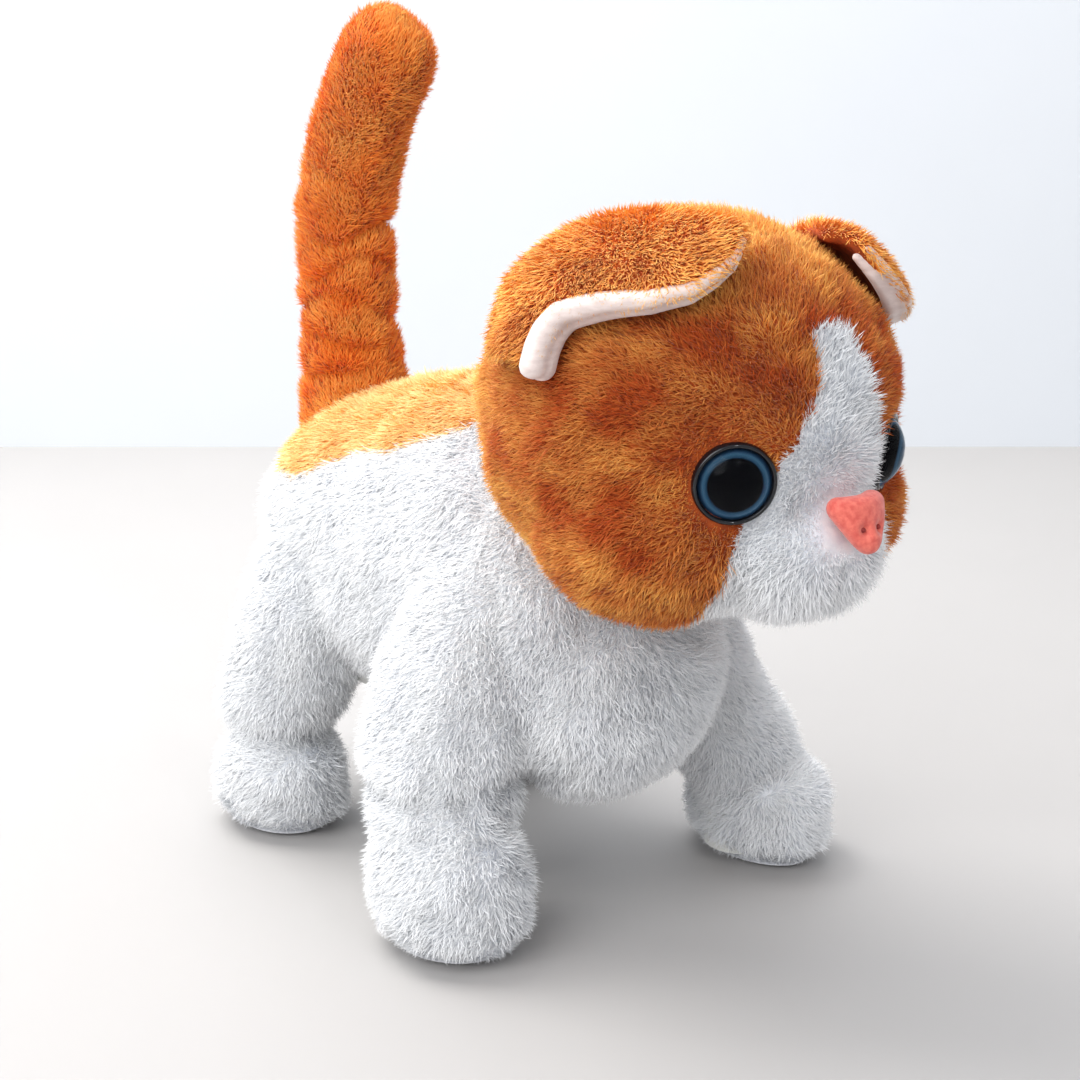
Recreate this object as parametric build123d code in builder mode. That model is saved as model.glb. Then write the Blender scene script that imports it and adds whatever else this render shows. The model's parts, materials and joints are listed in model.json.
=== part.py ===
from build123d import *
import os
from math import acos, asin, atan2, cos, degrees, hypot, pi, radians, sin, sqrt, tan

# Walking plush kitten: a plastic gearbox and battery case on four swinging legs, a nodding head
# and a wagging tail, all inside a stuffed plush skin. The kitten faces -Y, its left side is +X.
# Millimetres. Z = 0 is the floor, and X = 0 is the plane between its left and right sides.

os.makedirs("parts", exist_ok=True)

# ---- driving dimensions -------------------------------------------------------------------------
soft_gap = 0.7            # between the body plush and anything that moves past it
seat_gap = 0.3            # between a fixed piece and the plush round it
running = 0.05            # radial clearance of every shaft that turns
wall = 1.6                # plastic wall of the gearbox case
roof = 1.2                # plate between the battery bay and the gears

case_front = -22.0
case_nape = 72.0          # height of the low deck that carries the neck
front_room = 17.0         # inside the case ahead of the battery bay, for the circuit board
rear_room = 23.4          # behind it, for the switch and the speaker
side_room = 0.8           # between each battery and the case wall
gear_room = 2.585         # under the large gears
motor_room = 1.04         # over the motor

hip_height_front = 56.0
hip_height_rear = 54.0
hip_y_front = -10.0
hip_y_rear = 58.0
crank_y = 24.5
lever_length = 10.0
crank_throw = 1.7
stride_lead = 6.0         # the left feet stand this far ahead of the right ones

front_foot_out = 21.7     # how far each sole's middle stands outside the leg's inner face
front_foot_y = -12.7
rear_foot_out = 12.0
rear_foot_y = 64.6
sole_thickness = 1.5

torso_half_width = 32.0
head_centre_y = -39.3
head_radius = 41.0
nape_gap = 1.665          # between the head and the front edge of the nape deck
skull_radius = 30.0
skull_wall = 1.8

tail_rise = 3.0           # tail's pivot over the top of the case
tail_radius = 10.5
tail_height = 190.5

gear_module = 0.5
pinion_teeth = 12
wheel_teeth = 36
pressure_angle = 25.0
gear_backlash = 0.1
idler_rise, motor_rise = 25.0, 39.0      # slope of each gear centre line, degrees
motor_radius = 7.75

battery_radius = 7.25
battery_length = 49.5
battery_nub = 1.0
battery_gap = 2.0         # from the front of the bay to the battery
battery_spacing = 0.1     # from the middle plane to each battery
spring_length = 6.1

eye_radius = 8.0
nod_share = 0.6           # head nod as a share of the leg swing
wag_share = 1.5           # tail wag as a share of the leg swing

# ---- sizes worked out from them -----------------------------------------------------------------
stride = degrees(asin(crank_throw / lever_length))
pinion_pitch = gear_module * pinion_teeth / 2
wheel_pitch = gear_module * wheel_teeth / 2
addendum, dedendum = 0.8 * gear_module, gear_module
centre_distance = pinion_pitch + wheel_pitch

link_drop = (hip_height_front - hip_height_rear) / (hip_y_rear - hip_y_front)
crank_z = hip_height_front + lever_length - link_drop * (crank_y - hip_y_front)
idler_y = crank_y + centre_distance * cos(radians(idler_rise))
idler_z = crank_z + centre_distance * sin(radians(idler_rise))
motor_y = idler_y + centre_distance * cos(radians(motor_rise))
motor_z = idler_z + centre_distance * sin(radians(motor_rise))

battery_x = battery_radius + battery_spacing
case_half_width = battery_x + battery_radius + side_room + wall
case_inside = case_half_width - wall
leg_inside = case_half_width + 1.0
front_foot_x, rear_foot_x = leg_inside + front_foot_out, leg_inside + rear_foot_out
link_span = (case_inside - 2.6, case_inside - 0.6)      # from here inwards, what stacks beside the wall
lever_span = (link_span[0] - 2.4, link_span[0] - 0.4)
disc_span = (link_span[0] - 2.9, link_span[0] - 1.4)
web_span = (disc_span[0] - 1.9, disc_span[0] - 0.3)
case_top = motor_z + motor_radius + motor_room + wall
bay_top = crank_z - wheel_pitch - addendum - gear_room - roof
battery_z = bay_top - 0.4 - battery_radius
case_bottom = battery_z - battery_radius - seat_gap - wall
bay_front = case_front + front_room
bay_rear = bay_front + battery_gap + battery_length + spring_length
case_rear = bay_rear + rear_room
tail_pivot_y, tail_pivot_z = case_rear - 0.5, case_top + tail_rise
head_centre_z = case_nape + sqrt((head_radius + nape_gap)**2 - (case_front - head_centre_y)**2)
head_centre = Vector(0, head_centre_y, head_centre_z)


def finish(piece, name):
    """Names a finished piece and writes it."""
    piece.part.label = name
    export_step(piece.part, f"parts/{name}.step")


def side_plane(x):
    """Plane at one x: its own x runs along +Y and its own y along +Z."""
    return Plane.YZ.offset(x)


def along_x(y, z, x):
    """Plane across a shaft that runs along X, with its origin on the shaft's centre."""
    return Plane(origin=(x, y, z), x_dir=(0, 1, 0), z_dir=(1, 0, 0))


def rod_x(y, z, radius, x_from, x_to, mode=Mode.ADD):
    """Round bar or hole along X between two values of x."""
    low, high = min(x_from, x_to), max(x_from, x_to)
    with BuildSketch(along_x(y, z, low)) as section:
        Circle(radius)
    extrude(section.sketch, amount=high - low, mode=mode)


def rod_y(x, z, radius, y_from, y_to, mode=Mode.ADD):
    """Round bar or hole along Y between two values of y."""
    with BuildSketch(Plane(origin=(x, y_from, z), x_dir=(1, 0, 0), z_dir=(0, 1, 0))) as section:
        Circle(radius)
    extrude(section.sketch, amount=y_to - y_from, mode=mode)


def block(x_span, y_span, z_span, mode=Mode.ADD):
    """Box between two corners."""
    with BuildSketch(Plane.XY.offset(z_span[0])) as section:
        with Locations(((x_span[0] + x_span[1]) / 2, (y_span[0] + y_span[1]) / 2)):
            Rectangle(x_span[1] - x_span[0], y_span[1] - y_span[0])
    extrude(section.sketch, amount=z_span[1] - z_span[0], mode=mode)


def spans(side, x_near, x_far):
    """The x span from x_near to x_far on the left (side 1) or the right (side -1)."""
    return (min(side * x_near, side * x_far), max(side * x_near, side * x_far))


# ---- gearbox case -------------------------------------------------------------------------------
case_outline = [
    (case_front, case_bottom), (case_rear - 4, case_bottom), (case_rear, case_bottom + 6),
    (case_rear, case_top - 20), (case_rear - 16, case_top), (crank_y - 2.5, case_top),
    (crank_y - 22.5, case_nape),
    (case_front, case_nape),
]
screw_posts = [
    (case_front + 3.5, case_bottom + 5.5), (case_front + 3.4, case_nape - 4.2),
    (case_rear - 4, case_bottom + 8.5), (case_rear - 10, case_top - 14), (crank_y - 10.5, case_top - 13.5),
]
post_radius, screw_radius, screw_head = 2.8, 1.2, 2.3
screw_grip, head_sink = 12.0, 1.5        # screw length past the middle plane, depth of its head
cross_wide, cross_thin = 1.6, 0.3        # half sizes of the cross cut in a screw's head
tail_boss = (tail_pivot_y - 12, tail_pivot_y - 6)
tail_boss_radius = 5.0
tail_axle = 2.0
speaker_radius = 9.5
speaker_z = case_top - 31.8
grille_holes, grille_pitch = 3, 4.0
pivot_gap = 0.3
hip_axle = 2.5
shaft_radius = 1.5
idler_axle = 1.0
door_gap = 0.25
door_half_width = case_inside - 0.5
switch_y, switch_travel = bay_rear + 11.4, 3.0
bearing_half = 5.0        # half length of the crank's bearing web
legs = {
    "front_left": (1, hip_y_front, hip_height_front, front_foot_x, front_foot_y - stride_lead),
    "front_right": (-1, hip_y_front, hip_height_front, front_foot_x, front_foot_y),
    "rear_left": (1, hip_y_rear, hip_height_rear, rear_foot_x, rear_foot_y - stride_lead),
    "rear_right": (-1, hip_y_rear, hip_height_rear, rear_foot_x, rear_foot_y),
}


def case_half(side):
    """Half of the case: a five-walled shell with its posts, bearings and battery bay."""
    with BuildPart() as half:
        with BuildSketch(side_plane(0)):
            Polygon(*case_outline, align=None)
        extrude(amount=side * case_half_width)
        with BuildSketch(side_plane(0)):
            with BuildLine():
                Polyline(*case_outline, close=True)
            make_face()
            offset(amount=-wall, kind=Kind.INTERSECTION, mode=Mode.REPLACE)
        extrude(amount=side * case_inside, mode=Mode.SUBTRACT)
        # roof and end walls of the battery bay, clear of the link bars above them
        block(spans(side, 0, case_inside), (bay_front - roof, bay_rear + roof), (bay_top, bay_top + roof))
        for y in (bay_front - roof, bay_rear):
            block(spans(side, 0, case_inside), (y, y + roof), (case_bottom + wall, bay_top))
        # bearing web for the crank shaft, standing on the bay's roof
        block(spans(side, *web_span), (crank_y - bearing_half, crank_y + bearing_half),
              (bay_top + roof, crank_z + bearing_half - 1))
        for y, z in screw_posts:
            rod_x(y, z, post_radius, 0, side * case_inside)
        # boss that holds the tail's axle between the two halves
        block(spans(side, 0, tail_boss_radius), tail_boss, (case_top - 10, tail_pivot_z))
        rod_y(0, tail_pivot_z, tail_boss_radius, *tail_boss)
        block(spans(-side, 0, tail_boss_radius + 1), (tail_boss[0] - 1, tail_boss[1] + 1), (case_top - 12, tail_pivot_z + 6),
              mode=Mode.SUBTRACT)
        rod_y(0, tail_pivot_z, tail_axle + running, tail_boss[0] - 1, tail_boss[1] + 1, mode=Mode.SUBTRACT)
        # bores
        rod_x(crank_y, crank_z, shaft_radius + running, 0, side * (web_span[1] + 1), mode=Mode.SUBTRACT)
        rod_x(idler_y, idler_z, idler_axle, 0, side * (case_half_width - 0.4), mode=Mode.SUBTRACT)
        for y, z in ((hip_y_front, hip_height_front), (hip_y_rear, hip_height_rear)):
            rod_x(y, z, hip_axle + running, side * (case_inside - 1), side * (case_half_width + 1),
                  mode=Mode.SUBTRACT)
        # door opening, switch slot and speaker holes
        block(spans(side, 0, door_half_width + door_gap), (bay_front, bay_rear),
              (case_bottom - 1, case_bottom + wall), mode=Mode.SUBTRACT)
        block(spans(side, 0, 1.6), (switch_y - 3.4, switch_y + 3.4), (case_bottom - 1, case_bottom + wall),
              mode=Mode.SUBTRACT)
        for step in range(grille_holes):
            hole_z = speaker_z + grille_pitch * (step - 1)
            rod_y(side * 2.5, hole_z, 1.0, case_rear - wall - 1, case_rear + 1, mode=Mode.SUBTRACT)
        for y, z in screw_posts:
            rod_x(y, z, screw_radius, -case_half_width, screw_grip, mode=Mode.SUBTRACT)
            rod_x(y, z, screw_head + 0.1, -case_half_width - 1, -case_half_width + head_sink,
                  mode=Mode.SUBTRACT)
    return half


for side, name in ((1, "left"), (-1, "right")):
    finish(case_half(side), f"chassis_{name}_shell")

with BuildPart() as chassis_screws:
    for y, z in screw_posts:
        rod_x(y, z, screw_radius, -case_half_width + head_sink, screw_grip - 0.5)
        rod_x(y, z, screw_head, -case_half_width, -case_half_width + head_sink)
        for tall, wide in ((cross_wide, cross_thin), (cross_thin, cross_wide)):
            block((-case_half_width - 0.1, -case_half_width + 0.7), (y - wide, y + wide), (z - tall, z + tall),
                  mode=Mode.SUBTRACT)
finish(chassis_screws, "chassis_screws")

# ---- battery door, batteries, contacts ----------------------------------------------------------
door_screw_y = bay_rear - 3.2
grip_ribs, grip_pitch = 5, 2.4
with BuildPart() as battery_door:
    block((-door_half_width, door_half_width), (bay_front + door_gap, bay_rear - door_gap),
          (case_bottom, case_bottom + wall))
    for rib in range(grip_ribs):
        rib_y = bay_front + 6 + grip_pitch * rib
        block((-8, 8), (rib_y, rib_y + grip_pitch / 2), (case_bottom - 0.1, case_bottom + 0.5),
              mode=Mode.SUBTRACT)
    with Locations((0, door_screw_y, case_bottom)):
        Cylinder(screw_head + 0.1, 1.6, align=(Align.CENTER, Align.CENTER, Align.CENTER), mode=Mode.SUBTRACT)
        Cylinder(screw_radius, 10, mode=Mode.SUBTRACT)
finish(battery_door, "battery_door")

with BuildPart() as door_screw:
    with BuildSketch(Plane.XY.offset(case_bottom)):
        with Locations((0, door_screw_y)):
            Circle(screw_head)
    extrude(amount=0.8)
    with BuildSketch(Plane.XY.offset(case_bottom + 0.8)):
        with Locations((0, door_screw_y)):
            Circle(screw_radius)
    extrude(amount=1.6)
    block((-cross_wide, cross_wide), (door_screw_y - cross_thin, door_screw_y + cross_thin),
          (case_bottom - 0.1, case_bottom + 0.4), mode=Mode.SUBTRACT)
finish(door_screw, "door_screw")

battery_start = bay_front + battery_gap
for side, name in ((1, "left"), (-1, "right")):
    with BuildPart() as battery:
        x = side * battery_x
        rod_y(x, battery_z, battery_radius, battery_start, battery_start + battery_length)
        fillet(battery.edges().filter_by(GeomType.CIRCLE), 0.6)
        rod_y(x, battery_z, 2.75, battery_start - battery_nub, battery_start)
    finish(battery, f"battery_{name}")

contact_half, contact_thick = 4.5, 0.4
with BuildPart() as battery_contacts:
    for side in (1, -1):
        x = side * battery_x
        for y in (bay_front, bay_rear - contact_thick):
            block((x - contact_half, x + contact_half), (y, y + contact_thick),
                  (battery_z - contact_half, battery_z + contact_half))
        with BuildSketch(Plane(origin=(x, bay_rear - contact_thick, battery_z),
                               x_dir=(1, 0, 0), z_dir=(0, -1, 0))):
            Circle(4)
        with BuildSketch(Plane(origin=(x, battery_start + battery_length + 0.1, battery_z),
                               x_dir=(1, 0, 0), z_dir=(0, -1, 0))):
            Circle(2.2)
        loft()
finish(battery_contacts, "battery_contacts")

# ---- power switch -------------------------------------------------------------------------------
with BuildPart() as switch_body:
    block((-5, 5), (switch_y - 4.5, switch_y + 4.5), (case_bottom + wall + 0.1, case_bottom + wall + 4.5))
    block((-1.8, 1.8), (switch_y - 3.6, switch_y + 3.6), (case_bottom + wall, case_bottom + wall + 2.5),
          mode=Mode.SUBTRACT)
finish(switch_body, "switch_body")

with BuildPart() as switch_slider:
    slider = (switch_y - 3.2, switch_y - 3.2 + 6.4 - switch_travel)
    block((-1.5, 1.5), slider, (case_bottom - 1.5, case_bottom + wall + 2.3))
    for step in range(2):
        y = slider[0] + 1.0 + 1.2 * step
        block((-2, 2), (y - 0.2, y + 0.2), (case_bottom - 1.6, case_bottom - 1.1), mode=Mode.SUBTRACT)
finish(switch_slider, "switch_slider")

# ---- motor and gears ----------------------------------------------------------------------------
motor_front, motor_back = 1.6, 0.6 - case_inside
gear_face = 2.6
rotor_shaft = 0.75


def gear_points(teeth, phase):
    """Outline of a stub-tooth involute gear with one tooth's middle at angle phase, in degrees."""
    pitch = gear_module * teeth / 2
    base = pitch * cos(radians(pressure_angle))
    tip, root = pitch + addendum, pitch - dedendum
    pressed = radians(pressure_angle)
    half_at_pitch = pi / (2 * teeth) - gear_backlash / (2 * pitch)
    half_at_base = half_at_pitch + tan(pressed) - pressed
    flank = []
    for step in range(4):
        radius = max(base, root) + (tip - max(base, root)) * step / 3
        opened = acos(min(1, base / radius))
        flank.append((radius, half_at_base - (tan(opened) - opened)))
    if root < base:
        flank.insert(0, (root, half_at_base))
    points = []
    for tooth in range(teeth):
        middle = radians(phase) + 2 * pi * tooth / teeth
        for radius, half in flank:
            points.append((radius * cos(middle - half), radius * sin(middle - half)))
        for radius, half in reversed(flank):
            points.append((radius * cos(middle + half), radius * sin(middle + half)))
    return points


def gear(y, z, teeth, phase, x_from, x_to, mode=Mode.ADD):
    """Adds one gear across X."""
    with BuildSketch(along_x(y, z, x_from)) as section:
        with BuildLine():
            Polyline(*gear_points(teeth, phase), close=True)
        make_face()
    extrude(section.sketch, amount=x_to - x_from, mode=mode)


half_tooth_wheel, half_tooth_pinion = 180 / wheel_teeth, 180 / pinion_teeth
big_x, small_x = (2.4, 2.4 + gear_face), (-1.6, 2.4)

with BuildPart() as motor_can:
    rod_x(motor_y, motor_z, motor_radius, motor_back, motor_front)
    fillet(motor_can.edges().filter_by(GeomType.CIRCLE), 0.8)
    rod_x(motor_y, motor_z, rotor_shaft + running, motor_back - 1, motor_front + 1, mode=Mode.SUBTRACT)
finish(motor_can, "motor_can")

with BuildPart() as motor_shaft:
    rod_x(motor_y, motor_z, rotor_shaft, motor_back - 0.3, big_x[1] + 0.6)
finish(motor_shaft, "motor_shaft")

with BuildPart() as motor_pinion:
    gear(motor_y, motor_z, pinion_teeth, motor_rise + 180 + half_tooth_pinion, big_x[0] - 0.3, big_x[1] + 0.3)
    rod_x(motor_y, motor_z, rotor_shaft, 0, 10, mode=Mode.SUBTRACT)
finish(motor_pinion, "motor_pinion")

with BuildPart() as idler_shaft:
    rod_x(idler_y, idler_z, idler_axle, -case_half_width + 0.4, case_half_width - 0.4)
finish(idler_shaft, "idler_shaft")

with BuildPart() as idler_gear:
    gear(idler_y, idler_z, pinion_teeth, idler_rise + 180, *small_x)
    gear(idler_y, idler_z, wheel_teeth, motor_rise, *big_x)
    rod_x(idler_y, idler_z, idler_axle + running, small_x[0] - 1, big_x[1] + 1, mode=Mode.SUBTRACT)
finish(idler_gear, "idler_gear")

crank_gear_x = (-1.3, 1.3)
link_pad = (7.0, 5.1)     # width of the bar round the crank's slot, and its height beyond the slot
disc_radius, crank_pin = 4.2, 1.0
with BuildPart() as crank_gear:
    gear(crank_y, crank_z, wheel_teeth, idler_rise + half_tooth_wheel, *crank_gear_x)
    rod_x(crank_y, crank_z, shaft_radius, -5, 5, mode=Mode.SUBTRACT)
finish(crank_gear, "crank_gear")

with BuildPart() as crank_shaft:
    rod_x(crank_y, crank_z, shaft_radius, -disc_span[1], disc_span[1])
finish(crank_shaft, "crank_shaft")

for side, name in ((1, "left"), (-1, "right")):
    with BuildPart() as crank_disc:
        rod_x(crank_y, crank_z, disc_radius, side * disc_span[0], side * disc_span[1])
        # the pin stops short of the link bar's slot: this is the pivot left open
        rod_x(crank_y, crank_z + side * crank_throw, crank_pin, side * disc_span[0],
              side * (link_span[0] - 0.4))
        rod_x(crank_y, crank_z, shaft_radius, side * 8, side * disc_span[1], mode=Mode.SUBTRACT)
    finish(crank_disc, f"crank_disc_{name}")

# ---- link bars and hip levers -------------------------------------------------------------------
pin_radius = 1.25
front_pin = (hip_y_front, hip_height_front + lever_length)
rear_pin = (hip_y_rear, hip_height_rear + lever_length)
for side, name in ((1, "left"), (-1, "right")):
    x_low = spans(side, *link_span)[0]
    thickness = link_span[1] - link_span[0]
    with BuildPart() as link_bar:
        with BuildSketch(side_plane(x_low)):
            for y, z in (front_pin, rear_pin):
                with Locations((y, z)):
                    Circle(2.9)
            slope = degrees(atan2(rear_pin[1] - front_pin[1], rear_pin[0] - front_pin[0]))
            middle = ((front_pin[0] + rear_pin[0]) / 2, (front_pin[1] + rear_pin[1]) / 2)
            with Locations(Location((middle[0], middle[1], 0), (0, 0, slope))):
                Rectangle(hypot(rear_pin[0] - front_pin[0], rear_pin[1] - front_pin[1]), 3.4)
            with Locations((crank_y, crank_z)):
                slot_length = 2 * (crank_throw + crank_pin) + 0.8
                RectangleRounded(link_pad[0], slot_length + link_pad[1] - 0.8, 2)
                SlotOverall(slot_length, 2 * crank_pin + 0.2, rotation=90,
                            mode=Mode.SUBTRACT)
        extrude(amount=thickness)
        rod_x(*front_pin, pin_radius + running, -20, 20, mode=Mode.SUBTRACT)
        rod_x(*rear_pin, pin_radius + pivot_gap, -20, 20, mode=Mode.SUBTRACT)
    finish(link_bar, f"link_bar_{name}")

for name, (side, hip_y, hip_z, foot_x, foot_y) in legs.items():
    with BuildPart() as hip_lever:
        x_low = spans(side, *lever_span)[0]
        with BuildSketch(side_plane(x_low)):
            with Locations((hip_y, hip_z)):
                Circle(4.2)
            with Locations((hip_y, hip_z + lever_length)):
                Circle(2.6)
            with Locations((hip_y, hip_z + lever_length / 2)):
                Rectangle(3.6, lever_length)
        extrude(amount=lever_span[1] - lever_span[0])
        rod_x(hip_y, hip_z + lever_length, pin_radius, side * lever_span[0], side * (link_span[1] + 0.3))
        rod_x(hip_y, hip_z, hip_axle, -20, 20, mode=Mode.SUBTRACT)
    finish(hip_lever, f"hip_lever_{name}")

# ---- legs ---------------------------------------------------------------------------------------
hip_drum = 17.0
front_drum_outside, rear_drum_outside = leg_inside + 17.5, leg_inside + 18.5
front_paw, rear_paw = (31.0, 38.0, 26.0), (28.0, 34.0, 25.0)      # width, length and top of each paw
core_radius, core_height = 9.0, 9.0
ankle_height = 18.0


def leg_frame_shape(side, hip_y, hip_z, foot_x, foot_y, mode):
    """Plastic leg bone: hip disc, slanting shank and the round core of the foot."""
    rod_x(hip_y, hip_z, 8, side * leg_inside, side * (leg_inside + 2.4), mode=mode)
    with BuildSketch(Plane.XY.offset(hip_z)) as shank_top:
        with Locations((side * (leg_inside + 2.2), hip_y)):
            Rectangle(4.4, 9)
    with BuildSketch(Plane.XY.offset(sole_thickness + 3)) as shank_foot:
        with Locations((side * foot_x, foot_y)):
            Rectangle(6, 9)
    loft([shank_foot.sketch, shank_top.sketch], ruled=True, mode=mode)
    with Locations((side * foot_x, foot_y, sole_thickness + 1.5)):
        Cylinder(core_radius, core_height, align=(Align.CENTER, Align.CENTER, Align.MIN), mode=mode)


for name, (side, hip_y, hip_z, foot_x, foot_y) in legs.items():
    front = name.startswith("front")
    with BuildPart() as leg_frame:
        leg_frame_shape(side, hip_y, hip_z, foot_x, foot_y, Mode.ADD)
        rod_x(hip_y, hip_z, hip_axle, side * lever_span[0], side * (leg_inside + 0.1))
    finish(leg_frame, f"leg_frame_{name}")

    drum_outside = front_drum_outside if front else rear_drum_outside
    paw_width, paw_length, paw_top = front_paw if front else rear_paw
    with BuildPart() as leg_plush:
        rod_x(hip_y, hip_z, hip_drum, side * leg_inside, side * drum_outside)
        outer_edge = leg_plush.edges().filter_by(GeomType.CIRCLE).sort_by(Axis.X)[-1 if side > 0 else 0]
        fillet(outer_edge, 7)
        thigh_width = drum_outside - leg_inside - 1
        with BuildSketch(Plane.XY.offset(hip_z)):
            with Locations((side * (leg_inside + 0.8 + thigh_width / 2), hip_y)):
                Ellipse(thigh_width / 2, 14)
        with BuildSketch(Plane.XY.offset(ankle_height)):
            with Locations((side * foot_x, foot_y)):
                Ellipse(paw_width / 2 - 1.5, paw_length / 2 - 3)
        loft()
        for height, shrink in ((sole_thickness, 1.0), (ankle_height - 4, 0.0), (paw_top, 5.0)):
            with BuildSketch(Plane.XY.offset(height)):
                with Locations((side * foot_x, foot_y)):
                    RectangleRounded(paw_width - 2 * shrink, paw_length - 2 * shrink, paw_width / 2 - shrink - 1)
        loft()
        leg_frame_shape(side, hip_y, hip_z, foot_x, foot_y, Mode.SUBTRACT)
    finish(leg_plush, f"leg_plush_{name}")

    with BuildPart() as sole_pad:
        with BuildSketch(Plane.XY):
            with Locations((side * foot_x, foot_y)):
                RectangleRounded(paw_width - 4, paw_length - 4, paw_width / 2 - 3)
        extrude(amount=sole_thickness)
    finish(sole_pad, f"sole_pad_{name}")

# ---- neck ---------------------------------------------------------------------------------------
neck_foot_y = -4.0
barrel_radius, barrel_half, neck_pin_radius = 4.5, 4.8, 1.5
neck_width, neck_thick = 9.0, 5.0
neck_foot = ((-8, 8), (neck_foot_y - 6, neck_foot_y + 5), (case_nape, case_nape + 2))
neck_vector = Vector(0, head_centre_y - neck_foot_y, head_centre_z - case_nape)
neck_across = Vector(1, 0, 0)
neck_plane = Plane(origin=(0, neck_foot_y, case_nape), x_dir=neck_across, z_dir=neck_vector)


def neck_bar(width, thick, low, high, mode=Mode.ADD):
    """Slanting bar from the nape deck to the head's centre, between two distances along it."""
    with BuildSketch(neck_plane.offset(low)) as section:
        Rectangle(width, thick)
    extrude(section.sketch, amount=high - low, mode=mode)


with BuildPart() as neck_bracket:
    neck_bar(neck_width, neck_thick, 0, neck_vector.length)
    block((-14, 14), (case_front, 2), (case_nape - 8, case_nape), mode=Mode.SUBTRACT)
    block(*neck_foot)
    rod_x(head_centre_y, head_centre_z, barrel_radius, -barrel_half, barrel_half)
    rod_x(head_centre_y, head_centre_z, neck_pin_radius + running, -6, 6, mode=Mode.SUBTRACT)
finish(neck_bracket, "neck_bracket")

nod = nod_share * stride
slot_width = neck_width + 2 * soft_gap
slot_thick = neck_thick + 2 * (head_radius * sin(radians(nod)) + soft_gap)
pin_half = 12.0
with BuildPart() as neck_pin:
    rod_x(head_centre_y, head_centre_z, neck_pin_radius, -pin_half, pin_half)
finish(neck_pin, "neck_pin")

# ---- skull --------------------------------------------------------------------------------------
skull_screws = [(-16, 16), (16, 16), (-19, -13), (19, -13)]
screw_sink = 4.5          # how deep the skull's screw heads sit
skull_inside = skull_radius - skull_wall


def skull_post(dx, dz, front):
    """One screw post of the skull, from the split to the middle of the wall."""
    with BuildPart() as post:
        rod_y(dx, head_centre_z + dz, 2.6, head_centre_y, head_centre_y + (-1 if front else 1) * skull_radius)
        with Locations(head_centre):
            Sphere(skull_radius - skull_wall / 2, mode=Mode.INTERSECT)
    return post.part


def skull_half(front):
    """Front or back half of the hollow skull, with its screw posts and half its pin bosses."""
    facing = -1 if front else 1
    with BuildPart() as skull:
        with BuildSketch(Plane(origin=head_centre, x_dir=(0, facing, 0), z_dir=(facing, 0, 0))) as section:
            with BuildLine():
                outer = CenterArc((0, 0), skull_radius, 0, 90)
                inner = CenterArc((0, 0), skull_inside, 0, 90)
                Line(outer @ 0, inner @ 0)
                Line(outer @ 1, inner @ 1)
            make_face()
        revolve(section.sketch, axis=Axis(head_centre, (0, 1, 0)))
        for dx, dz in skull_screws:
            add(skull_post(dx, dz, front))
        for side in (1, -1):
            with BuildSketch(Plane.YZ.offset(side * (barrel_half + 0.5))) as boss:
                with Locations((head_centre_y + facing * 2, head_centre_z)):
                    Rectangle(4, 8)
            extrude(boss.sketch, amount=side * (skull_inside - barrel_half), mode=Mode.ADD)
        rod_x(head_centre_y, head_centre_z, neck_pin_radius, -pin_half, pin_half, mode=Mode.SUBTRACT)
        for dx, dz in skull_screws:
            seat = head_centre_y + sqrt(skull_radius**2 - dx**2 - dz**2) - screw_sink
            rod_y(dx, head_centre_z + dz, screw_radius, head_centre_y - 12, seat + 4, mode=Mode.SUBTRACT)
            rod_y(dx, head_centre_z + dz, screw_head + 0.1, seat, seat + 8, mode=Mode.SUBTRACT)
        if not front:
            neck_bar(slot_width, slot_thick, 0, neck_vector.length - barrel_radius - 6, mode=Mode.SUBTRACT)
    return skull


finish(skull_half(True), "head_front_shell")
finish(skull_half(False), "head_back_shell")

with BuildPart() as head_screws:
    for dx, dz in skull_screws:
        seat = head_centre_y + sqrt(skull_radius**2 - dx**2 - dz**2) - screw_sink
        rod_y(dx, head_centre_z + dz, screw_radius, head_centre_y - 11.5, seat)
        rod_y(dx, head_centre_z + dz, screw_head, seat, seat + 1.4)
finish(head_screws, "head_screws")

# ---- eyes and nose ------------------------------------------------------------------------------
eye_look = (21.2, -34.1, -5.6)           # way each eye looks from the head's centre
eye_cup_height, eye_bulge = 2.0, 4.4
eye_seat = head_radius - 1.7
stem_radius, washer_radius = 1.8, 5.0
washer_seat = eye_seat - 5.3
muzzle_radius = 17.5
muzzle_y, muzzle_z = head_centre_y - head_radius + 12.3, head_centre_z - 21
nose_y, nose_z, nose_tilt = muzzle_y - 16, muzzle_z + 7.5, 0.30
nose_width, nose_height, nose_depth = 12.0, 10.0, 4.0
nose_plane = Plane(origin=(0, nose_y, nose_z), x_dir=(1, 0, 0), z_dir=(0, -1, nose_tilt))
nose_washer_depth = 6.0


def eye_plane(side):
    """Plane at the head's centre that looks out through one eye."""
    outward = Vector(side * eye_look[0], *eye_look[1:])
    return Plane(origin=head_centre, x_dir=outward.cross(Vector(0, 0, 1)), z_dir=outward)


def eye_rod(side, radius, low, high, mode=Mode.ADD):
    """Round bar or hole along one eye's line of sight."""
    with BuildSketch(eye_plane(side).offset(low)) as section:
        Circle(radius)
    extrude(section.sketch, amount=high - low, mode=mode)


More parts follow.
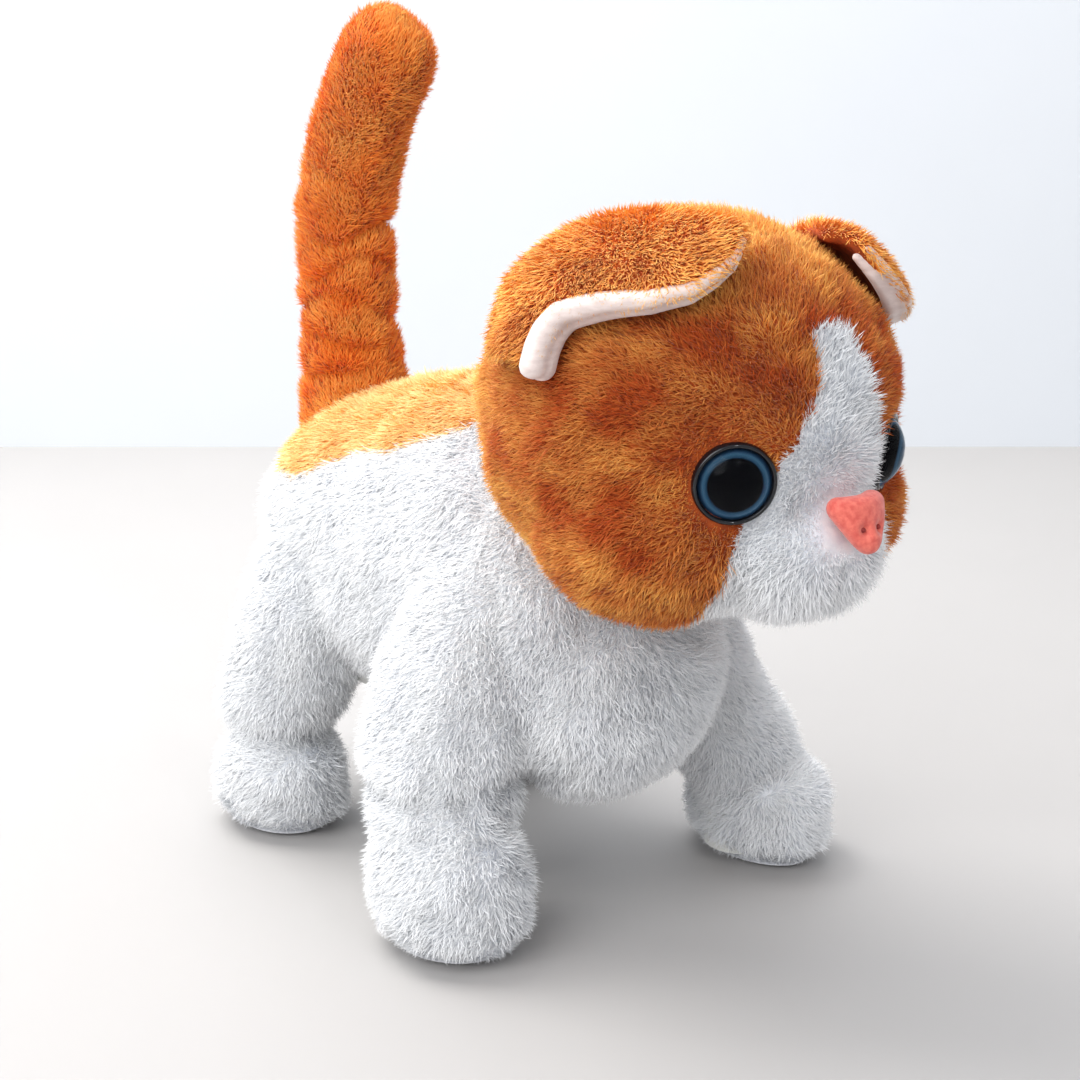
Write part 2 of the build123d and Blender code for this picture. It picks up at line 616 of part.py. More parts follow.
for side, name in ((1, "left"), (-1, "right")):
    with BuildPart() as eye_cup:
        eye_rod(side, eye_radius, eye_seat, eye_seat + eye_cup_height)
        eye_rod(side, stem_radius, washer_seat - 1.5, eye_seat)
    finish(eye_cup, f"eye_cup_{name}")
    lens_base = eye_radius - 0.5
    ball = (lens_base**2 + eye_bulge**2) / (2 * eye_bulge)
    with BuildPart() as eye_lens:
        lens_plane = eye_plane(side).offset(eye_seat + eye_cup_height)
        with Locations(lens_plane.offset(eye_bulge - ball).location):
            Sphere(ball)
        split(bisect_by=lens_plane, keep=Keep.TOP)
    finish(eye_lens, f"eye_lens_{name}")


nose_point = 1.6          # half width of the nose's lower end
nose_outline = [
    (-nose_width / 2, nose_height / 2), (nose_width / 2, nose_height / 2),
    (nose_point, -nose_height / 2), (-nose_point, -nose_height / 2),
]

with BuildPart() as nose:
    with BuildSketch(nose_plane):
        Polygon(*nose_outline, align=None)
    extrude(amount=nose_depth)
    with BuildSketch(nose_plane):
        Circle(stem_radius)
    extrude(amount=-(nose_washer_depth + 2))
finish(nose, "nose")

with BuildPart() as face_washers:
    for side in (1, -1):
        eye_rod(side, washer_radius, washer_seat, washer_seat + 1.2)
        eye_rod(side, stem_radius, washer_seat - 3, washer_seat + 3, mode=Mode.SUBTRACT)
    with BuildSketch(nose_plane.offset(-nose_washer_depth - 1.2)):
        Circle(washer_radius)
        Circle(stem_radius, mode=Mode.SUBTRACT)
    extrude(amount=1.2)
finish(face_washers, "face_washers")

# ---- head plush, in an orange hood and a white face ---------------------------------------------
face_plane = Plane(origin=(0, head_centre_y - head_radius / 2, head_centre_z), x_dir=(1, 0, 0),
                   z_dir=(0, -1, 0))


def face_pockets():
    """Room for the eyes, the nose and their washers."""
    for side in (1, -1):
        eye_rod(side, eye_radius + 0.1, eye_seat, eye_seat + 12, mode=Mode.SUBTRACT)
        eye_rod(side, stem_radius, washer_seat - 3, eye_seat + 1, mode=Mode.SUBTRACT)
        eye_rod(side, washer_radius, washer_seat, washer_seat + 1.2, mode=Mode.SUBTRACT)
    with BuildSketch(nose_plane) as nose_seat:
        Polygon(*nose_outline, align=None)
        offset(amount=0.1, kind=Kind.INTERSECTION)
    extrude(nose_seat.sketch, amount=12, mode=Mode.SUBTRACT)
    with BuildSketch(nose_plane) as stem_hole:
        Circle(stem_radius)
    extrude(stem_hole.sketch, amount=-(nose_washer_depth + 2), mode=Mode.SUBTRACT)
    with BuildSketch(nose_plane.offset(-nose_washer_depth - 1.2)) as washer_seat_face:
        Circle(washer_radius)
    extrude(washer_seat_face.sketch, amount=1.2, mode=Mode.SUBTRACT)


with BuildPart() as face_plush:
    with Locations(head_centre):
        Sphere(head_radius)
    with Locations((0, muzzle_y, muzzle_z)):
        Sphere(muzzle_radius)
    with Locations(head_centre):
        Sphere(skull_radius + seat_gap, mode=Mode.SUBTRACT)
    split(bisect_by=face_plane, keep=Keep.TOP)
    face_pockets()
finish(face_plush, "face_plush")

with BuildPart() as head_plush:
    with Locations(head_centre):
        Sphere(head_radius)
    with Locations((0, muzzle_y, muzzle_z)):
        Sphere(muzzle_radius)
    with Locations(head_centre):
        Sphere(skull_radius + seat_gap, mode=Mode.SUBTRACT)
    neck_bar(slot_width, slot_thick, 0, neck_vector.length - 10, mode=Mode.SUBTRACT)
    split(bisect_by=face_plane, keep=Keep.BOTTOM)
finish(head_plush, "head_plush")

# ---- ears: flaps folded down on the head, each with a satin lining ------------------------------
ear_out = Vector(27.0, -6.0, 31.0)
ear_span, ear_depth = 34.0, 17.0
lining_low, lining_high, ear_high = 0.1, 1.2, 4.2
for side, name in ((1, "left"), (-1, "right")):
    outward = Vector(side * ear_out.X, ear_out.Y, ear_out.Z)
    ear_plane = Plane(origin=head_centre, x_dir=(side * 0.3, -1, 0.2), z_dir=outward)
    for low, high, shrink, piece_name in (
        (lining_low, lining_high, 1.5, f"ear_lining_{name}"),
        (lining_high + 0.05, ear_high, 0.0, f"ear_{name}"),
    ):
        with BuildPart() as ear:
            with BuildSketch(ear_plane):
                Ellipse(ear_span / 2 - shrink, ear_depth / 2 - shrink)
            extrude(amount=head_radius * 1.5)
            with Locations(head_centre):
                Sphere(head_radius + high, mode=Mode.INTERSECT)
                Sphere(head_radius + low, mode=Mode.SUBTRACT)
        finish(ear, piece_name)

# ---- tail ---------------------------------------------------------------------------------------
tail_rod_radius, hub_radius = 1.8, 6.5
hub_span = (tail_pivot_y - 5.3, tail_pivot_y - 2.1)
tail_straight = (0, tail_pivot_y + 3, tail_pivot_z + 47)
tail_tip = (0, tail_pivot_y - 17.5, tail_height - tail_radius)


def tail_path():
    """Centre line of the tail: straight up, then one bend forward."""
    with BuildLine(Plane.XY) as path:
        start = Line((0, tail_pivot_y, tail_pivot_z), tail_straight)
        TangentArc(tail_straight, tail_tip, tangent=start % 1)
    return path.line


centre_line = tail_path()
tail_start_plane = Plane(origin=(0, tail_pivot_y, tail_pivot_z), x_dir=(1, 0, 0), z_dir=centre_line % 0)


def tail_bone(mode=Mode.ADD):
    """Round rod that stands in the hub and follows the centre line."""
    rod_y(0, tail_pivot_z, hub_radius - 2, hub_span[1], tail_pivot_y + 2, mode=mode)
    with BuildSketch(tail_start_plane) as section:
        Circle(tail_rod_radius)
    sweep(section.sketch, path=centre_line, mode=mode)


with BuildPart() as tail_arm:
    tail_bone()
    rod_y(0, tail_pivot_z, hub_radius, *hub_span)
    rod_y(0, tail_pivot_z, tail_axle, tail_boss[0] - 1.2, hub_span[0])
    rod_y(0, tail_pivot_z, tail_axle + 0.8, tail_boss[0] - 2.0, tail_boss[0] - 0.4)      # keeper
finish(tail_arm, "tail_arm")

tail_base = 12.5
with BuildPart() as tail_plush:
    with BuildSketch(tail_start_plane):
        Circle(tail_radius)
    sweep(path=centre_line)
    with Locations((0, tail_pivot_y, tail_pivot_z)):
        Sphere(tail_base)
    with Locations(tail_tip):
        Sphere(tail_radius)
    rod_y(0, tail_pivot_z, hub_radius + 0.3, tail_boss[0] - 6, hub_span[1] + 0.3, mode=Mode.SUBTRACT)
    block((-14, 14), (tail_pivot_y - 14, hub_span[1] + 0.3), (tail_pivot_z - 14, tail_pivot_z),
          mode=Mode.SUBTRACT)
    tail_bone(mode=Mode.SUBTRACT)
finish(tail_plush, "tail_plush")

# ---- body plush and saddle patch ----------------------------------------------------------------
torso_sections = [   # y, middle z, half width, half height
    (case_rear + 12, 64.0, 14.0, 16.0),
    (case_rear + 3, 65.0, 26.0, 29.0),
    (57.0, 68.0, torso_half_width, 36.0),
    (28.0, 72.0, torso_half_width, 39.0),
    (4.0, 70.0, torso_half_width + 1.0, 40.0),
    (-18.0, 62.0, torso_half_width, 33.0),
    (-33.0, 58.0, 21.0, 21.0),
]


def torso():
    """Stuffed torso: ellipses lofted from the rump to the chest."""
    sections = []
    for y, z, half_width, half_height in torso_sections:
        with BuildSketch(Plane(origin=(0, y, z), x_dir=(1, 0, 0), z_dir=(0, -1, 0))) as section:
            Ellipse(half_width, half_height)
        sections.append(section.sketch)
    loft(sections)


saddle_low, saddle_front = case_top + 11, crank_y - 8.5
tail_room = 12.2          # how far ahead of its pivot the tail needs the back cleared


def saddle_region(mode):
    """Cap of the back that the saddle patch covers."""
    block((-60, 60), (saddle_front, tail_pivot_y - tail_room), (saddle_low, saddle_low + 30), mode=mode)


with BuildPart() as body_plush:
    torso()
    with BuildSketch(side_plane(-case_half_width - seat_gap)):
        with BuildLine():
            Polyline(*case_outline, close=True)
        make_face()
        offset(amount=seat_gap, kind=Kind.INTERSECTION, mode=Mode.REPLACE)
    extrude(amount=2 * (case_half_width + seat_gap), mode=Mode.SUBTRACT)
    for side, hip_y, hip_z, foot_x, foot_y in legs.values():
        reach = hip_drum + soft_gap
        rod_x(hip_y, hip_z, reach, side * case_half_width, side * 60, mode=Mode.SUBTRACT)
        block(spans(side, case_half_width, 60), (hip_y - reach, hip_y + reach), (0, hip_z), mode=Mode.SUBTRACT)
    with Locations(head_centre):
        Sphere(head_radius + soft_gap, mode=Mode.SUBTRACT)
    block(*[(low - seat_gap, high + seat_gap) for low, high in neck_foot], mode=Mode.SUBTRACT)
    neck_bar(neck_width + 1, neck_thick + 1, 0, neck_vector.length, mode=Mode.SUBTRACT)
    # room for the tail to wag
    with Locations((0, tail_pivot_y, tail_pivot_z)):
        Sphere(tail_base + soft_gap, mode=Mode.SUBTRACT)
    block((-60, 60), (tail_pivot_y - tail_room, case_rear + 24), (tail_pivot_z + 4, 140), mode=Mode.SUBTRACT)
    block(spans(1, -tail_boss_radius - 0.5, tail_boss_radius + 0.5), (tail_boss[0] - 2.5, tail_pivot_y),
          (case_top - 16, tail_pivot_z + 14), mode=Mode.SUBTRACT)
    # belly opening under the battery door and the switch
    block((-door_half_width - 0.5, door_half_width + 0.5), (bay_front - 0.5, switch_y + 6), (0, case_bottom + 1),
          mode=Mode.SUBTRACT)
    saddle_region(Mode.SUBTRACT)
finish(body_plush, "body_plush")

with BuildPart() as saddle_patch:
    torso()
    saddle_region(Mode.INTERSECT)
finish(saddle_patch, "saddle_patch")

# ---- speaker and circuit board ------------------------------------------------------------------
rear_wall = case_rear - wall - 0.1
with BuildPart() as speaker:
    rod_y(0, speaker_z, speaker_radius, rear_wall - 2.5, rear_wall)
    rod_y(0, speaker_z, speaker_radius - 3.5, rear_wall - 4.9, rear_wall - 2.5)
finish(speaker, "speaker")

board_y, board_thick = case_front + 9, 1.2
board_face = board_y + board_thick
with BuildPart() as circuit_board:
    block((-9, 9), (board_y, board_face), (case_bottom + wall, case_bottom + 28))
    block((-3, 3), (board_face, board_face + 1.2), (case_bottom + 11, case_bottom + 17))
    for x in (-5, 5):
        rod_y(x, case_bottom + 22, 2.0, board_face, board_face + 3.8)
finish(circuit_board, "circuit_board")
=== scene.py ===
# %% Load the frame
import json
import math

import bmesh
import bpy
import numpy as np
from mathutils import Matrix, Vector


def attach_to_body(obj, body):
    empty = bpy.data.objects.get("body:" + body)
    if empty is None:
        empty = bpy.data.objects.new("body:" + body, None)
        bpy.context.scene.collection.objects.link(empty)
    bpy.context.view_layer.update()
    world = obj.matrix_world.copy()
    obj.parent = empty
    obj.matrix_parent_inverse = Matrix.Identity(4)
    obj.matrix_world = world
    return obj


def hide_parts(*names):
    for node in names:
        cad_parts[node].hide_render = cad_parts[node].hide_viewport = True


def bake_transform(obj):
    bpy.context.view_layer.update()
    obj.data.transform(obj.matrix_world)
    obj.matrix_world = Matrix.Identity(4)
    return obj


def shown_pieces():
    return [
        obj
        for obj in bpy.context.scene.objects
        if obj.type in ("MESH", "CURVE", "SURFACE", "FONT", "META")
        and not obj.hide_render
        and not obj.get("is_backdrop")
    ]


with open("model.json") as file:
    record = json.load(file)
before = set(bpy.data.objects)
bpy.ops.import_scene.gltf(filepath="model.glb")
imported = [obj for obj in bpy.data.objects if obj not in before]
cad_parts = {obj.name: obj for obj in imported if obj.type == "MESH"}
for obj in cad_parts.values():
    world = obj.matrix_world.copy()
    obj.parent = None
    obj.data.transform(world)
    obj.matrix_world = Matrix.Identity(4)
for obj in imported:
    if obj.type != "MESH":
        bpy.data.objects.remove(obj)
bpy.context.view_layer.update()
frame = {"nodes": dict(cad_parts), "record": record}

MM = 0.001
scene = bpy.context.scene

# %% [markdown]
# ## Camera, light and floor
# The kitten is seen from a little above, from its front right. The camera stands on a line that is given
# by two angles and a distance from a point inside the belly. The light is a bright, soft room: a pale
# world, one wide key lamp behind and to the left, a weaker fill on the left, a wash on the wall, and a very
# small lamp that puts a catchlight in the eyes. So the back is bright and the chest falls into shadow.

# %% Camera
LOOK_AT = Vector((0.0, 6.3, 75.5)) * MM
CAMERA_AZIMUTH, CAMERA_ELEVATION, CAMERA_DISTANCE = -40.0, 15.2, 447 * MM


def toward(azimuth, elevation):
    """Unit vector from the object to a viewer at these angles, in degrees."""
    a, e = math.radians(azimuth), math.radians(elevation)
    return Vector((math.sin(a) * math.cos(e), -math.cos(a) * math.cos(e), math.sin(e)))


def aim(thing, place, target):
    """Puts a camera or lamp at a place, turned towards a target."""
    thing.location = place
    thing.rotation_mode = "QUATERNION"
    thing.rotation_quaternion = (Vector(target) - Vector(place)).to_track_quat("-Z", "Y")


camera = bpy.data.objects.new("camera", bpy.data.cameras.new("camera"))
scene.collection.objects.link(camera)
camera.data.lens, camera.data.sensor_width = 68.8, 36.0
camera.data.clip_start = 0.01
aim(camera, LOOK_AT + toward(CAMERA_AZIMUTH, CAMERA_ELEVATION) * CAMERA_DISTANCE, LOOK_AT)
scene.camera = camera
scene.view_settings.view_transform = "Standard"

# %% Light


def lamp(name, azimuth, elevation, distance, size, power, color):
    """Square soft lamp that faces the kitten."""
    data = bpy.data.lights.new(name, "AREA")
    data.size, data.energy, data.color = size, power, color
    made = bpy.data.objects.new(name, data)
    scene.collection.objects.link(made)
    aim(made, LOOK_AT + toward(azimuth, elevation) * distance, LOOK_AT)
    return made


lamp("key", -160, 56, 0.9, 0.5, 8.0, (1.0, 0.985, 0.96))
lamp("fill", -78, 36, 1.0, 0.8, 7.0, (0.98, 0.99, 1.0))
world = bpy.data.worlds.new("room")
world.use_nodes = True
world.node_tree.nodes["Background"].inputs["Color"].default_value = (0.94, 0.96, 1.0, 1)
world.node_tree.nodes["Background"].inputs["Strength"].default_value = 0.64
scene.world = world
lamp("catchlight", -14, 40, 0.8, 0.035, 0.35, (1.0, 1.0, 1.0))

# %% Floor and wall


def plain(name, color, roughness):
    """Matte painted surface with a little mottling."""
    material = bpy.data.materials.new(name)
    material.use_nodes = True
    tree = material.node_tree
    shader = tree.nodes["Principled BSDF"]
    shader.inputs["Roughness"].default_value = roughness
    mottle = tree.nodes.new("ShaderNodeTexNoise")
    mottle.inputs["Scale"].default_value = 14.0
    tones = tree.nodes.new("ShaderNodeValToRGB")
    tones.color_ramp.elements[0].color = (*[c * 0.96 for c in color], 1)
    tones.color_ramp.elements[1].color = (*color, 1)
    place = tree.nodes.new("ShaderNodeTexCoord")
    tree.links.new(place.outputs["Object"], mottle.inputs["Vector"])
    tree.links.new(mottle.outputs["Fac"], tones.inputs["Fac"])
    tree.links.new(tones.outputs["Color"], shader.inputs["Base Color"])
    return material


def sheet_mesh(name, corners, material):
    """One flat quad."""
    mesh = bpy.data.meshes.new(name)
    mesh.from_pydata([tuple(c) for c in corners], [], [tuple(range(len(corners)))])
    mesh.materials.append(material)
    made = bpy.data.objects.new(name, mesh)
    scene.collection.objects.link(made)
    made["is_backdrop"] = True
    return made


WALL_BEHIND, STAGE_HALF, WALL_HEIGHT = 430 * MM, 3, 2   # in metres
away = -toward(CAMERA_AZIMUTH, 0)
along = away.cross(Vector((0, 0, 1)))
foot = Vector((LOOK_AT.x, LOOK_AT.y, 0)) + away * WALL_BEHIND
floor_near = Vector((LOOK_AT.x, LOOK_AT.y, 0)) - away * STAGE_HALF
spread, rise = along * STAGE_HALF, Vector((0, 0, WALL_HEIGHT))
sheet_mesh("floor", [floor_near - spread, floor_near + spread, foot + spread, foot - spread],
           plain("floor_paint", (0.46, 0.445, 0.435), 0.6))
sheet_mesh("wall", [foot - spread, foot + spread, foot + spread + rise, foot - spread + rise],
           plain("wall_paint", (0.72, 0.75, 0.79), 0.8))
wash = lamp("wash", 0, 80, 0.9, 0.5, 2.6, (1.0, 1.0, 1.0))
aim(wash, foot - away * 0.25 + Vector((0, 0, 0.75)), foot + Vector((0, 0, 0.22)))

# %% [markdown]
# ## The stuffed skin
# The real skin is cut from flat pile fabric, sewn inside out, turned and stuffed. Here each stuffed form
# starts as a few balls and limbs, is melted into one closed skin by a voxel remesh, and is then relaxed,
# which rounds the valleys as stuffing does.

# %% Tools for stuffed forms


def link_mesh(name, mesh):
    """Makes an object at the origin from a mesh."""
    made = bpy.data.objects.new(name, mesh)
    scene.collection.objects.link(made)
    return made


def ball(parts, centre, radii, rounds=3):
    """Adds one ellipsoid to a list of parts, in millimetres."""
    if isinstance(radii, (int, float)):
        radii = (radii, radii, radii)
    parts.append((Vector(centre), Vector(radii), rounds))


def limb(parts, points, step=2.0):
    """Adds a chain of balls through (x, y, z, radius) points, in millimetres."""
    for (x0, y0, z0, r0), (x1, y1, z1, r1) in zip(points, points[1:]):
        a, b = Vector((x0, y0, z0)), Vector((x1, y1, z1))
        count = max(1, int((b - a).length / step))
        for i in range(count + 1):
            t = i / count
            ball(parts, a.lerp(b, t), r0 + (r1 - r0) * t, rounds=2)


def melt(name, parts, voxel, relax):
    """Melts a list of parts into one closed, relaxed skin."""
    work = bmesh.new()
    for centre, radii, rounds in parts:
        place = Matrix.Translation(centre * MM) @ Matrix.Diagonal((*(radii * MM), 1))
        bmesh.ops.create_icosphere(work, subdivisions=rounds, radius=1.0, matrix=place)
    mesh = bpy.data.meshes.new(name)
    work.to_mesh(mesh)
    work.free()
    made = link_mesh(name, mesh)
    remesh = made.modifiers.new("melt", "REMESH")
    remesh.mode, remesh.voxel_size = "VOXEL", voxel * MM
    smooth = made.modifiers.new("relax", "SMOOTH")
    smooth.factor, smooth.iterations = 0.5, relax
    solid = bpy.data.meshes.new_from_object(made.evaluated_get(bpy.context.evaluated_depsgraph_get()))
    bpy.data.objects.remove(made)
    solid.name = name
    return solid


def points_of(mesh):
    """A mesh's points as an array, in millimetres."""
    flat = np.zeros(len(mesh.vertices) * 3, np.float64)
    mesh.vertices.foreach_get("co", flat)
    return flat.reshape(-1, 3) / MM


def set_points(mesh, points):
    """Writes points in millimetres back to a mesh."""
    mesh.vertices.foreach_set("co", (points * MM).astype(np.float32).ravel())
    mesh.update()


def normals_of(mesh):
    """A mesh's point normals as an array."""
    flat = np.zeros(len(mesh.vertices) * 3, np.float32)
    mesh.vertex_normals.foreach_get("vector", flat)
    return flat.reshape(-1, 3).astype(np.float64)


# %% Flow of the pile


def ripple(points, wave, seed):
    """Smooth pseudo-random value from -1 to 1 at each point. One wave is in millimetres."""
    pick = np.random.default_rng(seed)
    total = np.zeros(len(points))
    for _ in range(7):
        way = pick.normal(size=3)
        way *= 2 * math.pi / wave / np.linalg.norm(way) * pick.uniform(0.6, 1.3)
        total += np.sin(points @ way + pick.uniform(0, 2 * math.pi))
    return np.clip(total / 3.2, -1, 1)


def unit(rows):
    """Rows of vectors, each made one unit long."""
    return rows / np.maximum(np.linalg.norm(rows, axis=1, keepdims=True), 1e-9)


def bump_at(value, middle, width):
    """Bell curve of a value around a middle."""
    return np.exp(-((value - middle) / width) ** 2)


def comb(mesh, flow, stand, length, tone, swirl=0.45, wave=9.0, seed=1):
    """Stores on each point which way its pile leans, its length in millimetres, and its tone: how light its
    colour is, from its dye, with painted light and shade where a caller adds them.
    """
    points, normals = points_of(mesh), unit(normals_of(mesh))
    ruffle = np.stack([ripple(points, wave, seed + k) for k in range(3)], axis=1)
    lean = unit(flow) + ruffle * swirl
    lean -= normals * np.sum(lean * normals, axis=1, keepdims=True)
    way = unit(normals * stand + unit(lean))
    for name, kind, field, values in (("fur_dir", "FLOAT_VECTOR", "vector", way),
                                      ("fur_len", "FLOAT", "value", length),
                                      ("fur_tone", "FLOAT", "value", tone)):
        layer = mesh.attributes.new(name, kind, "POINT")
        layer.data.foreach_set(field, np.asarray(values, np.float32).ravel())


def panel(name, mesh, keep):
    """New mesh from the faces of another that are kept, with the pile's attributes."""
    corners = np.zeros(len(mesh.loops), np.int64)
    mesh.loops.foreach_get("vertex_index", corners)
    faces = [corners[p.loop_start:p.loop_start + p.loop_total] for p, k in zip(mesh.polygons, keep) if k]
    used = np.unique(np.concatenate(faces))
    place = np.full(len(mesh.vertices), -1)
    place[used] = np.arange(len(used))
    points = points_of(mesh)[used] * MM
    made = bpy.data.meshes.new(name)
    made.from_pydata(points.tolist(), [], [place[f].tolist() for f in faces])
    for layer in ("fur_dir", "fur_len", "fur_tone"):
        old = mesh.attributes.get(layer)
        if old is None:
            continue
        size, field = (3, "vector") if layer == "fur_dir" else (1, "value")
        values = np.zeros(len(mesh.vertices) * size, np.float32)
        old.data.foreach_get(field, values)
        new = made.attributes.new(layer, old.data_type, "POINT")
        new.data.foreach_set(field, values.reshape(-1, size)[used].ravel())
    made.shade_smooth()
    return made


def centres_of(mesh):
    """A mesh's face centres as an array, in millimetres."""
    flat = np.zeros(len(mesh.polygons) * 3, np.float32)
    mesh.polygons.foreach_get("center", flat)
    return flat.reshape(-1, 3).astype(np.float64) / MM


# %% [markdown]
# ## Pile
# Plush pile is thousands of short fibres that stand out of a knitted ground. A displaced surface looks like
# felt and particle hair isn't kept by an export, so a Geometry Nodes tree scatters small bent blades over
# each skin, leans them with the nap, varies their length and roll, and makes them real mesh. Each blade
# keeps a small map: across it runs its tone, from its dye with painted light and shade, and up it runs root
# to tip.

# %% One fibre
blade_mesh = bpy.data.meshes.new("fibre")
blade_mesh.from_pydata([(0, -0.5, 0), (0, 0.5, 0), (-0.05, -0.42, 0.5), (-0.05, 0.42, 0.5), (-0.20, 0, 1.0)],
                       [], [(0, 1, 3, 2), (2, 3, 4)])
along_layer = blade_mesh.attributes.new("along", "FLOAT", "POINT")
along_layer.data.foreach_set("value", [0.0, 0.0, 0.5, 0.5, 1.0])
blade = bpy.data.objects.new("fibre", blade_mesh)

# %% The pile tree


def wire(tree, kind, **settings):
    """Adds a node with its settings."""
    node = tree.nodes.new(kind)
    for key, value in settings.items():
        setattr(node, key, value)
    return node


def pile_tree():
    """Scatters bent blades over a mesh, as its fur_dir, fur_len and fur_tone say."""
    tree = bpy.data.node_groups.new("pile", "GeometryNodeTree")
    face = tree.interface
    face.new_socket("Geometry", in_out="OUTPUT", socket_type="NodeSocketGeometry")
    face.new_socket("Geometry", in_out="INPUT", socket_type="NodeSocketGeometry")
    for name, kind in (("Density", "NodeSocketFloat"), ("Width", "NodeSocketFloat"),
                       ("Scatter", "NodeSocketFloat"), ("Seed", "NodeSocketInt"),
                       ("Fibre", "NodeSocketObject"), ("Material", "NodeSocketMaterial")):
        face.new_socket(name, in_out="INPUT", socket_type=kind)
    start, end = wire(tree, "NodeGroupInput"), wire(tree, "NodeGroupOutput")
    link = tree.links.new

    def named(name, kind):
        node = wire(tree, "GeometryNodeInputNamedAttribute", data_type=kind)
        node.inputs["Name"].default_value = name
        return node.outputs["Attribute"]

    def between(low, high, offset):
        node = wire(tree, "FunctionNodeRandomValue", data_type="FLOAT")
        node.inputs[2].default_value, node.inputs[3].default_value = low, high
        shift = wire(tree, "FunctionNodeIntegerMath", operation="ADD")
        link(start.outputs["Seed"], shift.inputs[0])
        shift.inputs[1].default_value = offset
        link(shift.outputs[0], node.inputs["Seed"])
        return node.outputs[1]

    def maths(operation, a, b):
        node = wire(tree, "ShaderNodeMath", operation=operation)
        for socket, value in zip(node.inputs, (a, b)):
            if isinstance(value, float):
                socket.default_value = value
            else:
                link(value, socket)
        return node.outputs[0]

    long_enough = wire(tree, "FunctionNodeCompare", data_type="FLOAT", operation="GREATER_THAN")
    link(named("fur_len", "FLOAT"), long_enough.inputs[0])
    long_enough.inputs[1].default_value = 0.25
    scatter = wire(tree, "GeometryNodeDistributePointsOnFaces", distribute_method="RANDOM")
    link(start.outputs["Geometry"], scatter.inputs["Mesh"])
    link(long_enough.outputs[0], scatter.inputs["Selection"])
    link(start.outputs["Density"], scatter.inputs["Density"])
    link(start.outputs["Seed"], scatter.inputs["Seed"])
    jitter = wire(tree, "ShaderNodeCombineXYZ")
    for k in range(3):
        link(maths("MULTIPLY", between(-1.0, 1.0, 11 + k), start.outputs["Scatter"]), jitter.inputs[k])
    way = wire(tree, "ShaderNodeVectorMath", operation="ADD")
    link(named("fur_dir", "FLOAT_VECTOR"), way.inputs[0])
    link(jitter.outputs[0], way.inputs[1])
    stand = wire(tree, "FunctionNodeAlignRotationToVector", axis="Z")
    link(way.outputs[0], stand.inputs["Vector"])
    face_out = wire(tree, "FunctionNodeAlignRotationToVector", axis="X", pivot_axis="Z")
    link(stand.outputs[0], face_out.inputs["Rotation"])
    link(scatter.outputs["Normal"], face_out.inputs["Vector"])
    roll = wire(tree, "FunctionNodeAxisAngleToRotation")
    roll.inputs["Axis"].default_value = (0, 0, 1)
    link(between(-1.0, 1.0, 21), roll.inputs["Angle"])
    turn = wire(tree, "FunctionNodeRotateRotation", rotation_space="LOCAL")
    link(face_out.outputs[0], turn.inputs[0])
    link(roll.outputs[0], turn.inputs[1])
    reach = maths("MULTIPLY", maths("MULTIPLY", named("fur_len", "FLOAT"), between(0.62, 1.12, 31)), 0.001)
    size = wire(tree, "ShaderNodeCombineXYZ")
    link(reach, size.inputs[0])
    link(start.outputs["Width"], size.inputs[1])
    link(reach, size.inputs[2])
    tone = wire(tree, "GeometryNodeStoreNamedAttribute", data_type="FLOAT", domain="POINT")
    tone.inputs["Name"].default_value = "tone"
    link(scatter.outputs["Points"], tone.inputs["Geometry"])
    link(maths("ADD", named("fur_tone", "FLOAT"), between(-0.16, 0.16, 41)), tone.inputs["Value"])
    fibre = wire(tree, "GeometryNodeObjectInfo")
    fibre.inputs["As Instance"].default_value = True
    link(start.outputs["Fibre"], fibre.inputs["Object"])
    grow = wire(tree, "GeometryNodeInstanceOnPoints")
    link(tone.outputs[0], grow.inputs["Points"])
    link(fibre.outputs["Geometry"], grow.inputs["Instance"])
    link(turn.outputs[0], grow.inputs["Rotation"])
    link(size.outputs[0], grow.inputs["Scale"])
    real = wire(tree, "GeometryNodeRealizeInstances")
    link(grow.outputs[0], real.inputs[0])
    paint = wire(tree, "GeometryNodeSetMaterial")
    link(real.outputs[0], paint.inputs["Geometry"])
    link(start.outputs["Material"], paint.inputs["Material"])
    spot = wire(tree, "ShaderNodeCombineXYZ")
    held = wire(tree, "ShaderNodeClamp")
    link(named("tone", "FLOAT"), held.inputs[0])
    held.inputs[1].default_value, held.inputs[2].default_value = 0.02, 0.98
    link(held.outputs[0], spot.inputs[0])
    link(maths("MULTIPLY", named("along", "FLOAT"), 0.98), spot.inputs[1])
    chart = wire(tree, "GeometryNodeStoreNamedAttribute", data_type="FLOAT2", domain="CORNER")
    chart.inputs["Name"].default_value = "OFBake"
    link(paint.outputs[0], chart.inputs["Geometry"])
    link(spot.outputs[0], chart.inputs["Value"])
    link(chart.outputs[0], end.inputs[0])
    return tree


def grown(name, mesh, tree, values):
    """Runs a tree on a mesh and returns the result as a plain mesh."""
    base = link_mesh(name, mesh)
    nodes = base.modifiers.new("tree", "NODES")
    nodes.node_group = tree
    sockets = {item.name: item.identifier for item in tree.interface.items_tree
               if getattr(item, "in_out", "") == "INPUT"}
    for key, value in values.items():
        nodes[sockets[key]] = value
    base.update_tag()
    graph = bpy.context.evaluated_depsgraph_get()
    result = bpy.data.meshes.new_from_object(base.evaluated_get(graph))
    bpy.data.objects.remove(base)
    result.name = name
    return result


PILE = pile_tree()
STRANDS_PER_PIECE = 60000
WORKING_LAYERS = ("tone", "along", "fur_dir", "fur_len", "fur_tone")


